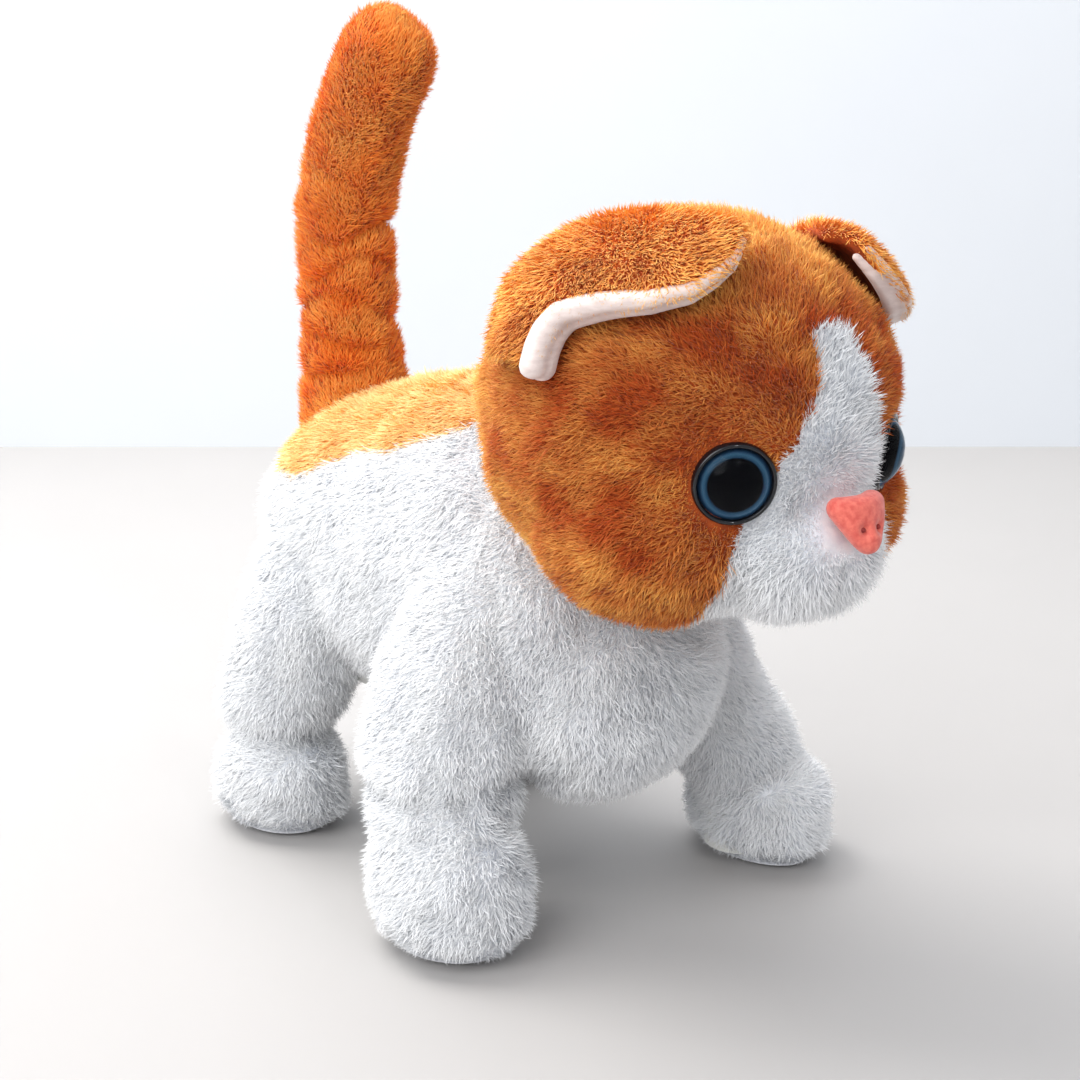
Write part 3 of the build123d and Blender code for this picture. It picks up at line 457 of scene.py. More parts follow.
def fur(name, mesh, material, per_mm2, width, scatter, seed, attach):
    """Grows the pile of one skin, in as many pieces as keep each one light, and attaches each piece."""
    area = sum(p.area for p in mesh.polygons) / MM / MM
    count = max(1, math.ceil(area * per_mm2 / STRANDS_PER_PIECE))
    total = 0
    for k in range(count):
        strands = grown(f"{name}_{k + 1}", mesh, PILE, {
            "Density": per_mm2 / count / MM / MM, "Width": width * MM, "Scatter": scatter,
            "Seed": seed * 10 + k, "Fibre": blade, "Material": material})
        for layer in WORKING_LAYERS:
            if layer in strands.attributes:
                strands.attributes.remove(strands.attributes[layer])
        total += len(strands.polygons) // 2
        attach(link_mesh(f"{name}_{k + 1}", strands))
    print(f"{name}: {total} fibres in {count} pieces on {area:.0f} mm2")


# %% [markdown]
# ## Finishes of the pile and the ground
# Along each fibre the colour is painted lighter from root to tip: painted shade at the root, where little
# light comes out again, and a painted highlight at the tip. The colour reads each fibre's own map, so that
# it stays with the fibre however the toy moves. The ground under the pile is a knit of almost the root's
# colour with a fine bump.

# %% Pile colours


def srgb(r, g, b):
    """Linear colour from 0 to 255 values."""
    def linear(c):
        c /= 255
        return c / 12.92 if c <= 0.04045 else ((c + 0.055) / 1.055) ** 2.4
    return (linear(r), linear(g), linear(b), 1.0)


def pile_finish(name, dark, light, roughness=0.7, sheen=0.25):
    """Pile finish: dark and light are each (root, tip) colours, picked by the fibre's tone. Each root colour
    is darker as painted shade, and each tip colour lighter as a painted highlight.
    """
    material = bpy.data.materials.new(name)
    material.use_nodes = True
    tree = material.node_tree
    shader = tree.nodes["Principled BSDF"]
    shader.inputs["Roughness"].default_value = roughness
    shader.inputs["Specular IOR Level"].default_value = 0.25
    shader.inputs["Sheen Weight"].default_value = sheen
    shader.inputs["Sheen Roughness"].default_value = 0.4
    chart = wire(tree, "ShaderNodeUVMap", uv_map="OFBake")
    parts_of = wire(tree, "ShaderNodeSeparateXYZ")
    tree.links.new(chart.outputs[0], parts_of.inputs[0])
    mixes = []
    for k in (0, 1):
        mix = wire(tree, "ShaderNodeMix", data_type="RGBA")
        mix.inputs[6].default_value, mix.inputs[7].default_value = dark[k], light[k]
        tree.links.new(parts_of.outputs[0], mix.inputs[0])
        mixes.append(mix)
    # Root to tip along the fibre: painted shade at the root, a painted highlight at the tip.
    root_shade_tip_highlight = wire(tree, "ShaderNodeMix", data_type="RGBA")
    tree.links.new(parts_of.outputs[1], root_shade_tip_highlight.inputs[0])
    tree.links.new(mixes[0].outputs[2], root_shade_tip_highlight.inputs[6])
    tree.links.new(mixes[1].outputs[2], root_shade_tip_highlight.inputs[7])
    tree.links.new(root_shade_tip_highlight.outputs[2], shader.inputs["Base Color"])
    return material


def surface(name, light, dark, roughness, scale, bump=0.0, metallic=0.0, stretch=(1, 1, 1), sheen=0.0,
            bump_scale=None):
    """Finish from Object coordinates: two tones of noise, with a fine bump where one is given."""
    material = bpy.data.materials.new(name)
    material.use_nodes = True
    tree = material.node_tree
    shader = tree.nodes["Principled BSDF"]
    shader.inputs["Roughness"].default_value = roughness
    shader.inputs["Metallic"].default_value = metallic
    shader.inputs["Sheen Weight"].default_value = sheen
    place, lay = wire(tree, "ShaderNodeTexCoord"), wire(tree, "ShaderNodeMapping")
    lay.inputs["Scale"].default_value = stretch
    tree.links.new(place.outputs["Object"], lay.inputs["Vector"])
    grain = wire(tree, "ShaderNodeTexNoise")
    grain.inputs["Scale"].default_value, grain.inputs["Detail"].default_value = scale, 4.0
    tree.links.new(lay.outputs[0], grain.inputs["Vector"])
    tones = wire(tree, "ShaderNodeValToRGB")
    tones.color_ramp.elements[0].position, tones.color_ramp.elements[1].position = 0.35, 0.65
    tones.color_ramp.elements[0].color, tones.color_ramp.elements[1].color = dark, light
    tree.links.new(grain.outputs["Fac"], tones.inputs["Fac"])
    tree.links.new(tones.outputs["Color"], shader.inputs["Base Color"])
    if bump:
        fine = wire(tree, "ShaderNodeTexNoise")
        fine.inputs["Scale"].default_value = bump_scale or scale * 6
        tree.links.new(lay.outputs[0], fine.inputs["Vector"])
        rise = wire(tree, "ShaderNodeBump")
        rise.inputs["Strength"].default_value = bump
        rise.inputs["Distance"].default_value = 0.2 * MM
        tree.links.new(fine.outputs["Fac"], rise.inputs["Height"])
        tree.links.new(rise.outputs["Normal"], shader.inputs["Normal"])
    return material


WHITE_PILE = pile_finish("white_pile", (srgb(232, 235, 240), srgb(255, 255, 255)),
                         (srgb(246, 248, 250), srgb(255, 255, 255)), sheen=0.5)
HOOD_PILE = pile_finish("hood_pile", (srgb(160, 54, 8), srgb(204, 84, 22)),
                        (srgb(244, 136, 36), srgb(255, 210, 112)))
TAIL_PILE = pile_finish("tail_pile", (srgb(238, 92, 16), srgb(255, 156, 52)),
                        (srgb(255, 152, 48), srgb(255, 204, 112)))
SADDLE_PILE = pile_finish("saddle_pile", (srgb(250, 176, 84), srgb(255, 208, 132)),
                          (srgb(255, 204, 118), srgb(255, 234, 174)))
WHITE_GROUND = surface("white_ground", srgb(246, 247, 250), srgb(228, 231, 238), 0.9, 420, bump=0.3)
ORANGE_GROUND = surface("orange_ground", srgb(190, 86, 24), srgb(150, 60, 14), 0.9, 420, bump=0.3)
SADDLE_GROUND = surface("saddle_ground", srgb(236, 160, 76), srgb(206, 126, 50), 0.9, 420, bump=0.3)
SATIN = surface("ear_satin", srgb(242, 226, 220), srgb(220, 202, 196), 0.42, 260, bump=0.25,
                stretch=(1, 1, 3), sheen=0.5)

# %% [markdown]
# ## Torso and legs
# The real body is one bag of white pile with four short legs, drawn in above each paw where a thread gathers
# it. One continuous skin gives the soft valleys between leg and belly; it is cut into panels afterwards.

# %% Torso and legs
parts = []
TORSO_RINGS = [   # y, middle z, half width, half height
    (79, 66, 22, 26), (68, 66.5, 29, 32), (46, 69, 32, 36), (26, 71, 32, 38),
    (8, 71, 32, 39), (-8, 66, 32, 36), (-20, 59, 29, 31),
]
for (y0, z0, w0, h0), (y1, z1, w1, h1) in zip(TORSO_RINGS, TORSO_RINGS[1:]):
    for i in range(4):
        t = i / 4
        ball(parts, (0, y0 + (y1 - y0) * t, z0 + (z1 - z0) * t),
             (w0 + (w1 - w0) * t, 12, h0 + (h1 - h0) * t))
ball(parts, (0, -14, 52), (28, 22, 28))
PAWS = {   # middle of each paw's footprint, and its half width and half length
    "front_left": (43.0, -19.0, 12.5, 18.5), "front_right": (-39.7, -12.0, 14.5, 17.5),
    "rear_left": (30.5, 59.5, 13.5, 16.5), "rear_right": (-30.5, 65.0, 13.5, 16.5),
}
PAW_TOPS = {"front_left": 26, "front_right": 31, "rear_left": 26, "rear_right": 26}
for name, (x, y, half_width, half_length) in PAWS.items():
    side = 1 if x > 0 else -1
    if name == "front_right":
        limb(parts, [(-20, -4, 66, 16), (-29, -3, 52, 17), (-35, -4, 36, 17), (-38.5, -8, 24, 14)])
    elif name == "front_left":
        limb(parts, [(20, -8, 63, 15), (28, -9, 47, 14.5), (36, -12, 33, 13.5), (42, -17, 21, 12)])
    else:
        limb(parts, [(side * 18, 61, 62, 16), (side * 24, 63, 46, 15.5), (side * 29, y + 2, 30, 13.5)])
    top = PAW_TOPS[name]
    ball(parts, (x, y, top / 2), (half_width, half_length, top / 2 - 0.5))
    ball(parts, (x, y, 7.5), (half_width, half_length, 8.5))
body_mesh = melt("body_skin", parts, 1.4, 14)
points, normals = points_of(body_mesh), unit(normals_of(body_mesh))
x, y, z = points.T
HEAD = Vector((0, -39.3, 111.0))
gather = 2.6 * bump_at(z, 33.0 - 0.05 * y, 2.6) * (y < 30) * (x < -16)
gather += 1.0 * bump_at(z, 24.0, 2.4) * (y < 30) * (x > 16)
gather += 0.9 * bump_at(z, 24.0, 2.2) * (y >= 30) * (np.abs(x) > 12)
points = points - normals * (gather * (0.7 + 0.3 * ripple(points, 9, 5)))[:, None]
points = points + normals * (0.7 * ripple(points, 22, 8) + 0.35 * ripple(points, 9, 9))[:, None]
from_head = points - np.array(HEAD)
reach = np.linalg.norm(from_head, axis=1)
points = np.where((reach < 41.6)[:, None], np.array(HEAD) + unit(from_head) * 41.6, points)
points[:, 2] = np.maximum(points[:, 2], 1.4)
set_points(body_mesh, points)
print("body skin:", len(body_mesh.polygons), "faces")

# %% Comb the body
x, y, z = points.T
low = np.clip((16 - z) / 14, 0, 1)
flow = np.stack([np.sign(x) * 0.15 + x / 60, 0.25 + y * 0, -0.9 + y * 0], axis=1)
outwards = unit(np.stack([normals_of(body_mesh)[:, 0], normals_of(body_mesh)[:, 1], 0.12 + 0 * x], axis=1))
flow = flow * (1 - low)[:, None] + outwards * low[:, None]
length = 3.3 + 0.4 * ripple(points, 14, 2)
length = length * np.clip((z - 0.5) / 6, 0.55, 1) * (z > 1.5)
reach = np.linalg.norm(points - np.array(HEAD), axis=1)
length = np.where(reach < 43.0, 0.0, length)
comb(body_mesh, flow, 1.15, length, 0.55 + 0.35 * ripple(points, 12, 3), seed=4)

# %% Cut it into panels
centres = centres_of(body_mesh)
LEG_SPANS = {}
taken = np.zeros(len(centres), bool)
leg_keep = {}
for name, (fx, fy, *_) in PAWS.items():
    side = 1 if fx > 0 else -1
    hip_y, top = (-10.0, 66.0) if name.startswith("front") else (58.0, 64.0)
    start = np.array([side * 12.0, hip_y, top])
    end = np.array([side * (abs(fx) - 1), fy, 24.0])
    LEG_SPANS[name] = (start, end)
    t = (centres - start) @ (end - start) / np.sum((end - start) ** 2)
    keep = (t > 0.16) & (np.abs(centres[:, 1] - (hip_y + (fy - hip_y) * np.clip(t, 0, 1))) < 22)
    keep &= (side * centres[:, 0] > 13) & (centres[:, 2] < 60)
    leg_keep[name] = keep & ~taken
    taken |= keep
SADDLE_EDGE = [   # y, height of the saddle's lower edge
    (-25, 108), (5, 104), (10, 101.5), (20, 98.5), (30, 95), (42, 91), (54, 87.5), (62, 84.5), (70, 83),
    (78, 84), (90, 85),
]
spine = centres[:, 1]
saddle_edge = np.interp(spine, *np.array(SADDLE_EDGE, float).T) + 0.7 * np.sin(spine / 5.0)
saddle = ~taken & (centres[:, 2] > saddle_edge)
torso_skin = panel("torso_skin", body_mesh, ~taken & ~saddle)
saddle_skin = panel("saddle_skin", body_mesh, saddle)


def dressed(name, mesh, ground, attach, nodes):
    """Adds a stuffed skin with its ground finish, hands it to its attach step, and hides the CAD nodes it
    stands for.
    """
    mesh.materials.clear()
    mesh.materials.append(ground)
    made = link_mesh(name, mesh)
    attach(made)
    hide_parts(*nodes)


def on(body):
    """Attaches a piece of pile to one body."""
    def attach(piece):
        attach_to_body(piece, body)
    return attach


def between_bodies(a, b, start, end, slot):
    """Returns an attach step that only bakes a piece's placement into its mesh; it attaches the piece to no
    body.
    """
    def attach(piece):
        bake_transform(piece)
    return attach


PILE_DENSITY, FIBRE_WIDTH = 7.5, 0.22
dressed("torso_skin", torso_skin, WHITE_GROUND, on("chassis"), ["body_plush"])
fur("torso_pile", torso_skin, WHITE_PILE, PILE_DENSITY, FIBRE_WIDTH, 0.5, 1, on("chassis"))
dressed("saddle_skin", saddle_skin, SADDLE_GROUND, on("chassis"),
        ["saddle_patch"])
fur("saddle_pile", saddle_skin, SADDLE_PILE, PILE_DENSITY, FIBRE_WIDTH, 0.4, 2,
    on("chassis"))
for k, name in enumerate(PAWS):
    leg_mesh = panel(f"{name}_leg_skin", body_mesh, leg_keep[name])
    attach = between_bodies("chassis", f"{name}_leg", *LEG_SPANS[name], "white_plush")
    dressed(f"{name}_leg_skin", leg_mesh, WHITE_GROUND, attach, [f"leg_plush_{name}"])
    fur(f"{name}_leg_pile", leg_mesh, WHITE_PILE, PILE_DENSITY, FIBRE_WIDTH, 0.5, 3 + k, attach)

# %% [markdown]
# ## Head
# The head is a round stuffed ball with full cheeks and a short muzzle. A wedge of white pile is sewn into
# the orange hood: narrow on the forehead, wider past the eyes, and the whole chin. Above the eyes it leans
# a little to the left.

# %% Head
parts = []
ball(parts, HEAD, (40.0, 40.0, 38.5), 5)
for side in (1, -1):
    ball(parts, (side * 17, -48, 94), (22, 24, 19), 4)
ball(parts, (0, -66, 91), (18.5, 16, 14.5), 4)
head_mesh = melt("head_skin", parts, 1.3, 10)
points, normals = points_of(head_mesh), unit(normals_of(head_mesh))
x, y, z = points.T
EYE_ACROSS, EYE_FORWARD, EYE_DOWN = 21.2, 34.1, 5.6
EYE_REACH = math.sqrt(EYE_ACROSS**2 + EYE_FORWARD**2 + EYE_DOWN**2)
EYE_LOOK = {side: np.array([side * EYE_ACROSS, -EYE_FORWARD, -EYE_DOWN]) / EYE_REACH for side in (1, -1)}
from_head = points - np.array(HEAD)
eye_near = np.minimum(*[np.linalg.norm(from_head - np.outer(from_head @ e, e), axis=1)
                        + 99 * (from_head @ e < 0) for e in EYE_LOOK.values()])
dent = 1.8 * bump_at(eye_near, 0, 11.0) + 1.1 * bump_at(x, 0, 1.6) * (z < 90) * (y < -74)
points = points - normals * dent[:, None]
points = points + normals * (0.5 * ripple(points, 20, 21) + 0.3 * ripple(points, 8, 22))[:, None]
set_points(head_mesh, points)
NOSE = np.array([0, -84.0, 97.5])
x, y, z = points.T
nose_near = np.linalg.norm(points - NOSE, axis=1)
flow = unit(points - NOSE) + np.array([0, 0.25, -0.35])
length = 2.9 + 0.35 * ripple(points, 13, 23)
length *= np.clip((eye_near - 7.6) / 3.0, 0, 1) * np.clip((nose_near - 6.4) / 7.0, 0, 1)
length += 1.0 * bump_at(nose_near, 18, 9) * (z < 92)
tone = 0.26 + 0.26 * ripple(points, 11, 24) + 0.10 * ripple(points, 5, 25)
# Painted highlights: the pile is made lighter on top of the head, in a band low on the cheeks and towards
# the back.
tone += 0.60 * np.clip((from_head[:, 2] - 20) / 18, 0, 1) + 0.30 * bump_at(from_head[:, 2], -26, 7)
tone += 0.45 * np.clip((from_head[:, 1] - 2) / 28, 0, 1)
comb(head_mesh, flow, 1.25, length, np.clip(tone, 0.02, 0.98), seed=26)

# %% Cut the white wedge out of the hood
MASK = np.array([   # elevation from the head's centre, half width of the white, both in degrees
    (-90, 90), (-70, 60), (-52, 46), (-48, 40), (-26, 31), (-15, 25), (2, 16.5), (12, 11), (22, 9),
    (30, 8), (31.5, 4), (32, 0), (90, 0),
])


def white_half_width(elevation):
    """Half width of the white wedge at an elevation, in degrees."""
    return np.interp(elevation, MASK[:, 0], MASK[:, 1])


WEDGE_LEAN = 3.0   # degrees
seen = centres_of(head_mesh) - np.array(HEAD)
elevation = np.degrees(np.arcsin(np.clip(seen[:, 2] / np.linalg.norm(seen, axis=1), -1, 1)))
turned = np.degrees(np.arctan2(seen[:, 0], -seen[:, 1])) - WEDGE_LEAN * np.clip(elevation / 15, 0, 1)
white = (np.abs(turned) < white_half_width(elevation)) & (elevation < 32)
hood_skin, face_skin = panel("hood_skin", head_mesh, ~white), panel("face_skin", head_mesh, white)
dressed("hood_skin", hood_skin, ORANGE_GROUND, on("head"), ["head_plush"])
fur("hood_pile", hood_skin, HOOD_PILE, PILE_DENSITY, FIBRE_WIDTH, 0.45, 11, on("head"))
dressed("face_skin", face_skin, WHITE_GROUND, on("head"), ["face_plush"])
fur("face_pile", face_skin, WHITE_PILE, PILE_DENSITY, FIBRE_WIDTH, 0.45, 12, on("head"))

# %% [markdown]
# ## Ears
# Each ear is a flap of hood pile folded down on the head, lined with satin. The flap is melted from balls
# that follow two edges, an attached one and a free one. The lining shows as a rolled band under the free
# edge, widest behind. The left ear is turned down a little further than the right one.

# %% Ear edges
LINING_LINE = [(12, -64, 147.7), (15.7, -66, 145), (20.5, -65.9, 142.4), (25.2, -64.5, 140.1),
               (30.4, -59.9, 138.6), (35.3, -52.2, 137.5), (38.6, -45.7, 135.3), (40.5, -44, 132.4),
               (41.9, -43.6, 129.4), (43, -43.8, 126)]
HELD_EDGE = [(11, -57, 152), (16, -50, 154), (22, -40, 153), (28, -28, 149), (35, -21, 141), (42, -26, 128)]


def follow(edge, t):
    """Point at share t along an edge through chosen points."""
    spots = np.array(edge, float)
    steps = np.concatenate([[0], np.cumsum(np.linalg.norm(np.diff(spots, axis=0), axis=1))])
    return np.array([np.interp(t * steps[-1], steps, spots[:, k]) for k in range(3)])


def at_radius(point, radius):
    """The point moved along its line from the head's centre to a radius."""
    way = point - np.array(HEAD)
    return np.array(HEAD) + way / np.linalg.norm(way) * radius


LEFT_EAR_DROP = 15   # degrees
# Radius of the flap's free edge, how far the held edge lies under it, and how far its middle is crowned.
FLAP_RADIUS, FLAP_FALL, FLAP_CROWN = 45.6, 2.6, 0.8
LINING_RADIUS, LINING_ROOT = 46.4, 43.8


def placed(spot, side):
    """Mirrors a point to its side. The left ear is sewn on a little lower than the right one."""
    if side < 0:
        return tuple(spot * np.array([-1, 1, 1]))
    turn = math.radians(LEFT_EAR_DROP)
    across, up = spot[0], spot[2] - HEAD[2]
    return (across * math.cos(turn) + up * math.sin(turn), spot[1],
            HEAD[2] - across * math.sin(turn) + up * math.cos(turn))


for side, name in ((1, "left"), (-1, "right")):
    parts = []
    for i in range(41):
        t = i / 40
        free = follow(LINING_LINE, t) + np.array([0.3, -0.3, 2.0]) * (1 - 0.5 * t)
        held = follow(HELD_EDGE, t)
        swell = math.sin(math.pi * min(1, 0.10 + 0.80 * t))
        for j in range(11):
            u = j / 10
            radius = FLAP_RADIUS - FLAP_FALL * u + FLAP_CROWN * math.sin(math.pi * u)
            spot = at_radius(free * (1 - u) + held * u, radius)
            ball(parts, placed(spot, side), 1.3 + 0.8 * swell, 2)
    ear_mesh = melt(f"ear_skin_{name}", parts, 0.8, 4)
    points = points_of(ear_mesh)
    towards_edge = unit(points - np.array([side * 16, -36, 150]))
    under = np.sum(unit(normals_of(ear_mesh)) * unit(points - np.array(HEAD)), axis=1) < -0.25
    length = np.where(under, 0.0, 2.6 + 0.3 * ripple(points, 9, 31))
    # Painted highlight: the pile is made lighter towards the top of the flap.
    tone = 0.80 + 0.25 * ripple(points, 10, 32) + 0.25 * np.clip((points[:, 2] - 143) / 8, 0, 1)
    comb(ear_mesh, towards_edge, 1.15, length, np.clip(tone, 0.02, 0.98), seed=33)
    ear_mesh.shade_smooth()
    dressed(f"ear_skin_{name}", ear_mesh, ORANGE_GROUND, on("head"),
            [f"ear_{name}"])
    fur(f"ear_pile_{name}", ear_mesh, HOOD_PILE, PILE_DENSITY, FIBRE_WIDTH, 0.4, 14 + side,
        on("head"))
    parts = []
    for i in range(80):
        t = i / 79
        wide = 1.0 + 1.5 * min(1, 1.5 * t) + 0.5 * max(0, t - 0.6)
        spot = follow(LINING_LINE, t) - np.array([0, 0, 0.5])
        ball(parts, placed(at_radius(spot, LINING_RADIUS), side), (wide, wide, wide * 0.9), 2)
        ball(parts, placed(at_radius(spot + np.array([0.0, 0.2, 0.4]), LINING_ROOT), side), wide, 2)
    lining_mesh = melt(f"ear_lining_skin_{name}", parts, 0.5, 8)
    lining_mesh.shade_smooth()
    dressed(f"ear_lining_skin_{name}", lining_mesh, SATIN, lambda piece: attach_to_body(piece, "head"),
            [f"ear_lining_{name}"])
print("ears done")

# %% [markdown]
# ## Tail
# The tail is a stuffed tube on a bendable core. Near its root the tube is longer than its core, so it
# ripples into gathers, where the pile is painted darker as painted shade.

# %% Tail
TAIL_LINE = [(0, 74, 88, 13.5), (0, 75, 100, 12.0), (0, 76.5, 115, 10.8), (0, 77.3, 140, 10.8),
             (0, 71.3, 158, 10.4), (0, 65.3, 169, 10.4), (0, 59.8, 176.0, 10.4)]
TAIL_FOLDS = [   # height and depth of each gather round the tail
    (97, 1.2), (104, 2.2), (111, 1.4), (119, 2.6), (127, 1.5), (136, 2.2), (147, 0.8),
]
parts = []
limb(parts, TAIL_LINE, 1.5)
tail_mesh = melt("tail_skin", parts, 1.0, 8)
points, normals = points_of(tail_mesh), unit(normals_of(tail_mesh))
x, y, z = points.T
around = np.arctan2(x, y - np.interp(z, [88, 115, 140, 169, 178], [74, 77.5, 78.5, 66.5, 60]))
folds = np.zeros(len(z))
for k, (height, depth) in enumerate(TAIL_FOLDS):
    waver = 2.2 * np.sin(around * 2 + k * 1.9) + 1.0 * np.sin(around * 3 + k)
    folds += depth * bump_at(z, height + waver, 1.7) * (0.65 + 0.35 * np.sin(around + k * 2.4))
points = points - normals * folds[:, None] + normals * (0.35 * ripple(points, 12, 41))[:, None]
set_points(tail_mesh, points)
flow = np.stack([0 * x, 0 * x, 1 + 0 * x], axis=1)
flow[z > 150] = (0, -0.6, 0.8)
length = (2.9 + 0.3 * ripple(points, 11, 42)) * np.clip((z - 84) / 8, 0, 1)
# Painted shade: the pile is made darker in the gathers. Towards the top its tone is a little lighter.
tone = 0.55 + 0.30 * ripple(points, 12, 43) - 0.45 * np.clip(folds, 0, 1.6)
tone = tone + 0.1 * np.clip((z - 150) / 30, 0, 1)
comb(tail_mesh, flow, 1.1, length, np.clip(tone, 0.02, 0.98), seed=44)
tail_mesh.shade_smooth()
TAIL_SPAN = ((0, 75.5, 92), (0, 75.5, 116))
attach = between_bodies("chassis", "tail", *TAIL_SPAN, "orange_plush")
dressed("tail_skin", tail_mesh, ORANGE_GROUND, attach, ["tail_plush"])
fur("tail_pile", tail_mesh, TAIL_PILE, PILE_DENSITY + 1, FIBRE_WIDTH, 0.4, 17, attach)

# %% [markdown]
# ## Eyes
# A safety eye is a black moulded cup with a printed ring and a clear dome on top. The cup and dome are
# turned shapes, so each is one profile spun about the eye's line of sight.

# %% Turned shapes


def turned_mesh(name, profile, side, steps=56):
    """Closed shape spun about one eye's line of sight from (radius, distance) points, in millimetres."""
    look = Vector(EYE_LOOK[side])
    frame_of_eye = look.to_track_quat("Z", "Y").to_matrix()
    points, faces = [], []
    for radius, reach_of in profile:
        for k in range(steps):
            angle = 2 * math.pi * k / steps
            local = Vector((radius * math.cos(angle), radius * math.sin(angle), reach_of))
            points.append((HEAD + frame_of_eye @ local) * MM)
    for i in range(len(profile) - 1):
        for k in range(steps):
            a, b = i * steps + k, i * steps + (k + 1) % steps
            faces.append((a, b, b + steps, a + steps))
    mesh = bpy.data.meshes.new(name)
    mesh.from_pydata([tuple(p) for p in points], [], faces)
    work = bmesh.new()
    work.from_mesh(mesh)
    bmesh.ops.remove_doubles(work, verts=work.verts, dist=0.001 * MM)
    bmesh.ops.recalc_face_normals(work, faces=work.faces)
    work.to_mesh(mesh)
    work.free()
    mesh.shade_smooth()
    return mesh


def ring_finish():
    """Printed eye: black pupil, then a grey-blue ring that darkens outwards."""
    material = bpy.data.materials.new("printed_ring")
    material.use_nodes = True
    tree = material.node_tree
    shader = tree.nodes["Principled BSDF"]
    shader.inputs["Roughness"].default_value = 0.6
    shader.inputs["Specular IOR Level"].default_value = 0.0
    chart, split = wire(tree, "ShaderNodeUVMap", uv_map="OFBake"), wire(tree, "ShaderNodeSeparateXYZ")
    rays = wire(tree, "ShaderNodeTexNoise")
    rays.inputs["Scale"].default_value = 9.0
    bands = wire(tree, "ShaderNodeValToRGB")
    ramp = bands.color_ramp
    ramp.elements[0].position, ramp.elements[0].color = 0.0, (0.002, 0.002, 0.003, 1)
    ramp.elements[1].position, ramp.elements[1].color = 1.0, srgb(22, 34, 48)
    for place, color in ((0.70, (0.002, 0.002, 0.003, 1)), (0.74, srgb(42, 74, 98)),
                         (0.83, srgb(66, 106, 134)), (0.92, srgb(30, 54, 78))):
        ramp.elements.new(place).color = color
    tree.links.new(chart.outputs[0], split.inputs[0])
    tree.links.new(split.outputs[0], bands.inputs["Fac"])
    streak = wire(tree, "ShaderNodeMix", data_type="RGBA", blend_type="MULTIPLY")
    tree.links.new(chart.outputs[0], rays.inputs["Vector"])
    tree.links.new(rays.outputs["Fac"], streak.inputs[0])
    tree.links.new(bands.outputs["Color"], streak.inputs[6])
    streak.inputs[7].default_value = (0.8, 0.85, 0.9, 1)
    tree.links.new(streak.outputs[2], shader.inputs["Base Color"])
    return material


def dome_finish():
    """Clear hard plastic."""
    material = bpy.data.materials.new("clear_dome")
    material.use_nodes = True
    shader = material.node_tree.nodes["Principled BSDF"]
    shader.inputs["Base Color"].default_value = (0.97, 0.98, 1.0, 1)
    shader.inputs["Roughness"].default_value = 0.02
    shader.inputs["Transmission Weight"].default_value = 1.0
    shader.inputs["IOR"].default_value = 1.16
    return material


EYE_BLACK = surface("eye_black", (0.010, 0.011, 0.014, 1), (0.004, 0.004, 0.006, 1), 0.12, 300)
RING, DOME = ring_finish(), dome_finish()
RIM_PROFILE = [   # radius, distance from the head's centre
    (0, 36.6), (7.4, 36.6), (7.85, 37.4), (7.9, 38.6), (7.75, 39.3), (7.45, 39.6), (7.1, 39.45), (6.9, 39.1),
    (6.85, 38.6), (0, 38.6),
]
DOME_RADIUS, DOME_RISE, DOME_BASE = 6.85, 3.6, 38.9
DOME_RINGS = 14
for side, name in ((1, "left"), (-1, "right")):
    rim = turned_mesh(f"eye_rim_{name}", RIM_PROFILE, side)
    rim.materials.append(EYE_BLACK)
    piece = link_mesh(f"eye_rim_{name}", rim)
    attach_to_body(piece, "head")
    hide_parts(f"eye_cup_{name}")
    ball_radius = (DOME_RADIUS**2 + DOME_RISE**2) / (2 * DOME_RISE)
    outline = [(r, DOME_BASE) for r in (0.0, 1.5, 3.0, 4.2, 4.8, 5.2, 5.8, 6.3, DOME_RADIUS)]
    for k in range(1, DOME_RINGS + 1):
        rise = DOME_RISE * k / DOME_RINGS
        gap = ball_radius - DOME_RISE + rise
        outline.append((math.sqrt(max(0.0, ball_radius**2 - gap**2)), DOME_BASE + rise))
    dome = turned_mesh(f"eye_dome_{name}", outline, side)
    dome.materials.append(DOME)
    dome.materials.append(RING)
    chart = dome.uv_layers.new(name="OFBake")
    look = np.array(EYE_LOOK[side])
    spots = points_of(dome) - np.array(HEAD)
    reach_of = spots @ look
    off_axis = np.linalg.norm(spots - np.outer(reach_of, look), axis=1)
    for face in dome.polygons:
        if max(reach_of[v] for v in face.vertices) < DOME_BASE + 0.02:
            face.material_index = 1
        for corner in face.loop_indices:
            v = dome.loops[corner].vertex_index
            across = spots[v] - reach_of[v] * look
            angle = math.atan2(across[2], across[0] * side)
            chart.data[corner].uv = (min(0.99, off_axis[v] / 6.9), 0.5 + angle / 6.6)
    piece = link_mesh(f"eye_dome_{name}", dome)
    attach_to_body(piece, "head")
    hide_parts(f"eye_lens_{name}")

# %% Nose
parts = []
NOSE_UP = Vector((0, 0.287, 0.958))
for row in range(9):
    share = row / 8
    reach_across = 4.4 * (1 - share) ** 0.8
    for k in range(7):
        across = reach_across * (k - 3) / 3
        spot = Vector(NOSE) + Vector((across, -1.0 + 0.07 * across**2, 0)) + NOSE_UP * (3.2 - 6.6 * share)
        ball(parts, spot, (2.3, 2.6, 2.3), 3)
nose_mesh = melt("nose_skin", parts, 0.35, 24)
points, normals = points_of(nose_mesh), unit(normals_of(nose_mesh))
for side in (1, -1):
    hole = np.array([side * 2.0, -87.4, 97.0])
    points = points - normals * (1.2 * bump_at(np.linalg.norm(points - hole, axis=1), 0, 1.2))[:, None]
set_points(nose_mesh, points)
nose_mesh.shade_smooth()
nose_mesh.materials.append(surface("nose_flock", srgb(244, 122, 104), srgb(222, 88, 76), 0.6, 900, bump=0.5,
                                   sheen=0.3))
nose_piece = link_mesh("nose_skin", nose_mesh)
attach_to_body(nose_piece, "head")
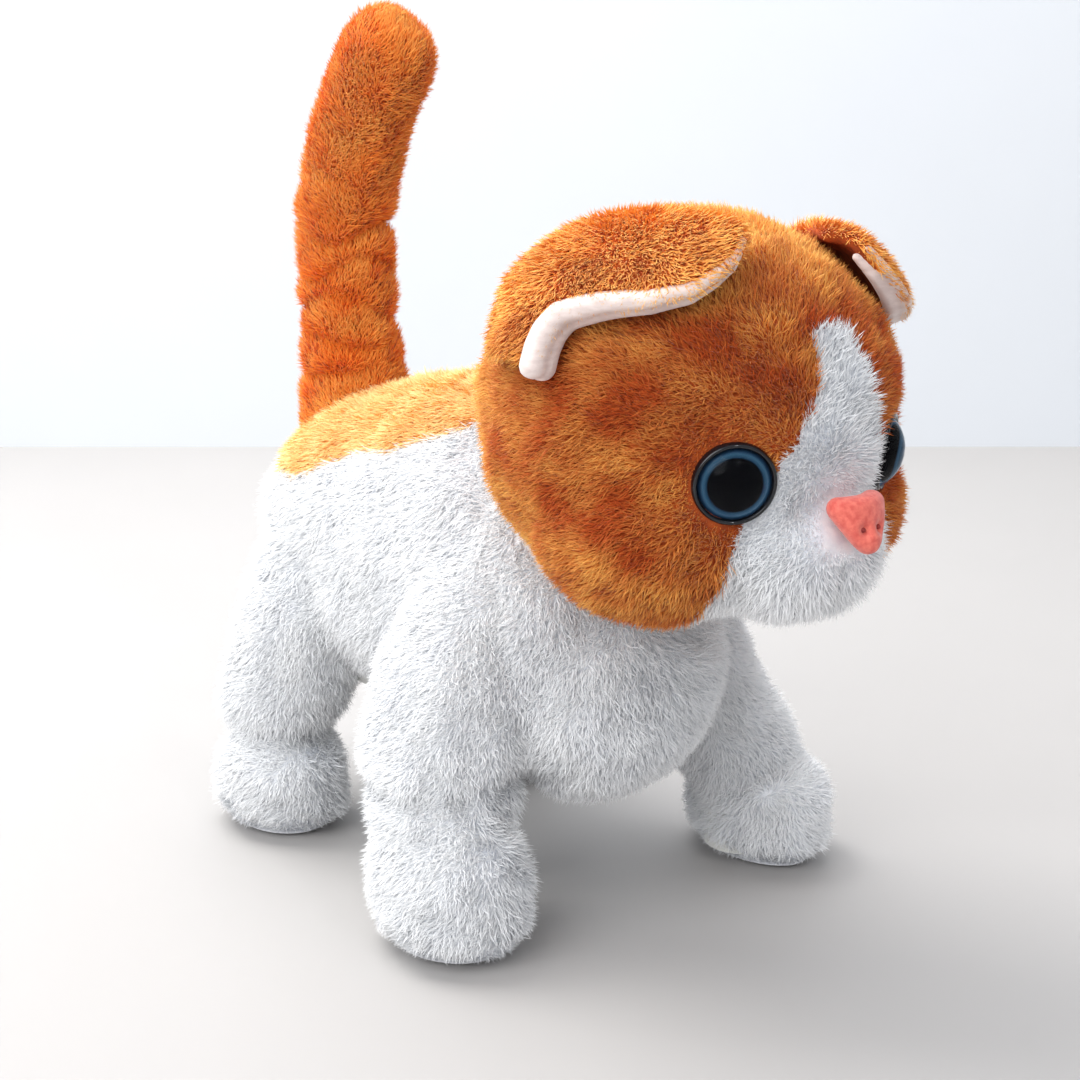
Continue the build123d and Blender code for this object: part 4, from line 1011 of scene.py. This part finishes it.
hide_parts("nose")
# The dark blobs in the nostril dents are painted shade.
parts = []
for side in (1, -1):
    ball(parts, (side * 2.0, -86.4, 97.0), (0.55, 0.7, 0.5), 3)
nostrils = melt("nostrils", parts, 0.15, 2)
nostrils.shade_smooth()
nostrils.materials.append(surface("nostril_painted_shade", srgb(170, 58, 52), srgb(130, 40, 38), 0.7, 500))
piece = link_mesh("nostrils", nostrils)
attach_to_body(piece, "head")

# %% Soles
# Each sole is a flat-weave patch sewn flush into the bottom of its paw.
SOLE_CLOTH = surface("sole_cloth", srgb(236, 237, 240), srgb(214, 216, 222), 0.9, 900, bump=0.6,
                     bump_scale=1800, stretch=(1, 1.6, 1))
for name, (x, y, half_width, half_length) in PAWS.items():
    parts = []
    for k in range(5):
        grow = math.sin(math.pi * (0.25 + 0.125 * k))
        ball(parts, (x, y, 0.95 + 0.25 * (k - 2)),
             ((half_width - 3.5) * grow, (half_length - 4) * grow, 0.9), 4)
    sole = melt(f"sole_{name}", parts, 0.5, 4)
    points = points_of(sole)
    points[:, 2] = np.clip(points[:, 2], 0.0, 2.2)
    set_points(sole, points)
    sole.shade_smooth()
    sole.materials.append(SOLE_CLOTH)
    piece = link_mesh(f"sole_{name}", sole)
    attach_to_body(piece, f"{name}_leg")
    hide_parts(f"sole_pad_{name}")

# %% [markdown]
# ## Parts under the skin
# The battery door, the switch and the soles show from below, and the gearbox shows where a leg swings.
# The CAD shapes are right, so each keeps its node and takes a finish: moulded plastic with a fine eroded
# texture, drawn steel and nylon. The soles' own nodes are hidden, and the soles built above take a
# flat-weave fabric.

# %% Finishes of the CAD nodes
FINISHES = {
    "case_plastic": surface("case_plastic", srgb(232, 232, 228), srgb(220, 220, 216), 0.5, 60, bump=0.25,
                            bump_scale=2600),
    "skull_plastic": surface("skull_plastic", srgb(226, 226, 222), srgb(214, 214, 210), 0.45, 50),
    "frame_nylon": surface("frame_nylon", srgb(240, 240, 234), srgb(226, 226, 220), 0.4, 80),
    "gear_nylon": surface("gear_nylon", srgb(244, 242, 232), srgb(230, 228, 214), 0.35, 120),
    "black_plastic": surface("black_plastic", srgb(38, 38, 40), srgb(24, 24, 26), 0.4, 90, bump=0.2,
                             bump_scale=2600),
    "steel_pins": surface("steel_pins", srgb(205, 205, 208), srgb(170, 170, 174), 0.3, 200, metallic=1.0),
    "motor_steel": surface("motor_steel", srgb(190, 192, 198), srgb(160, 162, 168), 0.35, 180, metallic=1.0,
                           stretch=(0.2, 1, 1)),
    "battery_wrap": surface("battery_wrap", srgb(46, 54, 66), srgb(30, 36, 46), 0.25, 100),
    "board_green": surface("board_green", srgb(30, 112, 62), srgb(18, 84, 44), 0.4, 240),
}
slots = {row["node"]: row["material_slot"] for row in frame["record"]["subparts"]}
painted = 0
for node, piece in frame["nodes"].items():
    finish = FINISHES.get(slots.get(node))
    if finish is None or not piece.data:
        continue
    if piece.material_slots:
        for held in piece.material_slots:
            held.material = finish
    else:
        piece.data.materials.append(finish)
    painted += 1
print("CAD nodes with a finish:", painted)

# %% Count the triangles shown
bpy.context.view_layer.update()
triangles = sum(len(p.vertices) - 2 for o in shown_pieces() if o.type == "MESH" for p in o.data.polygons)
print("triangles shown:", triangles)
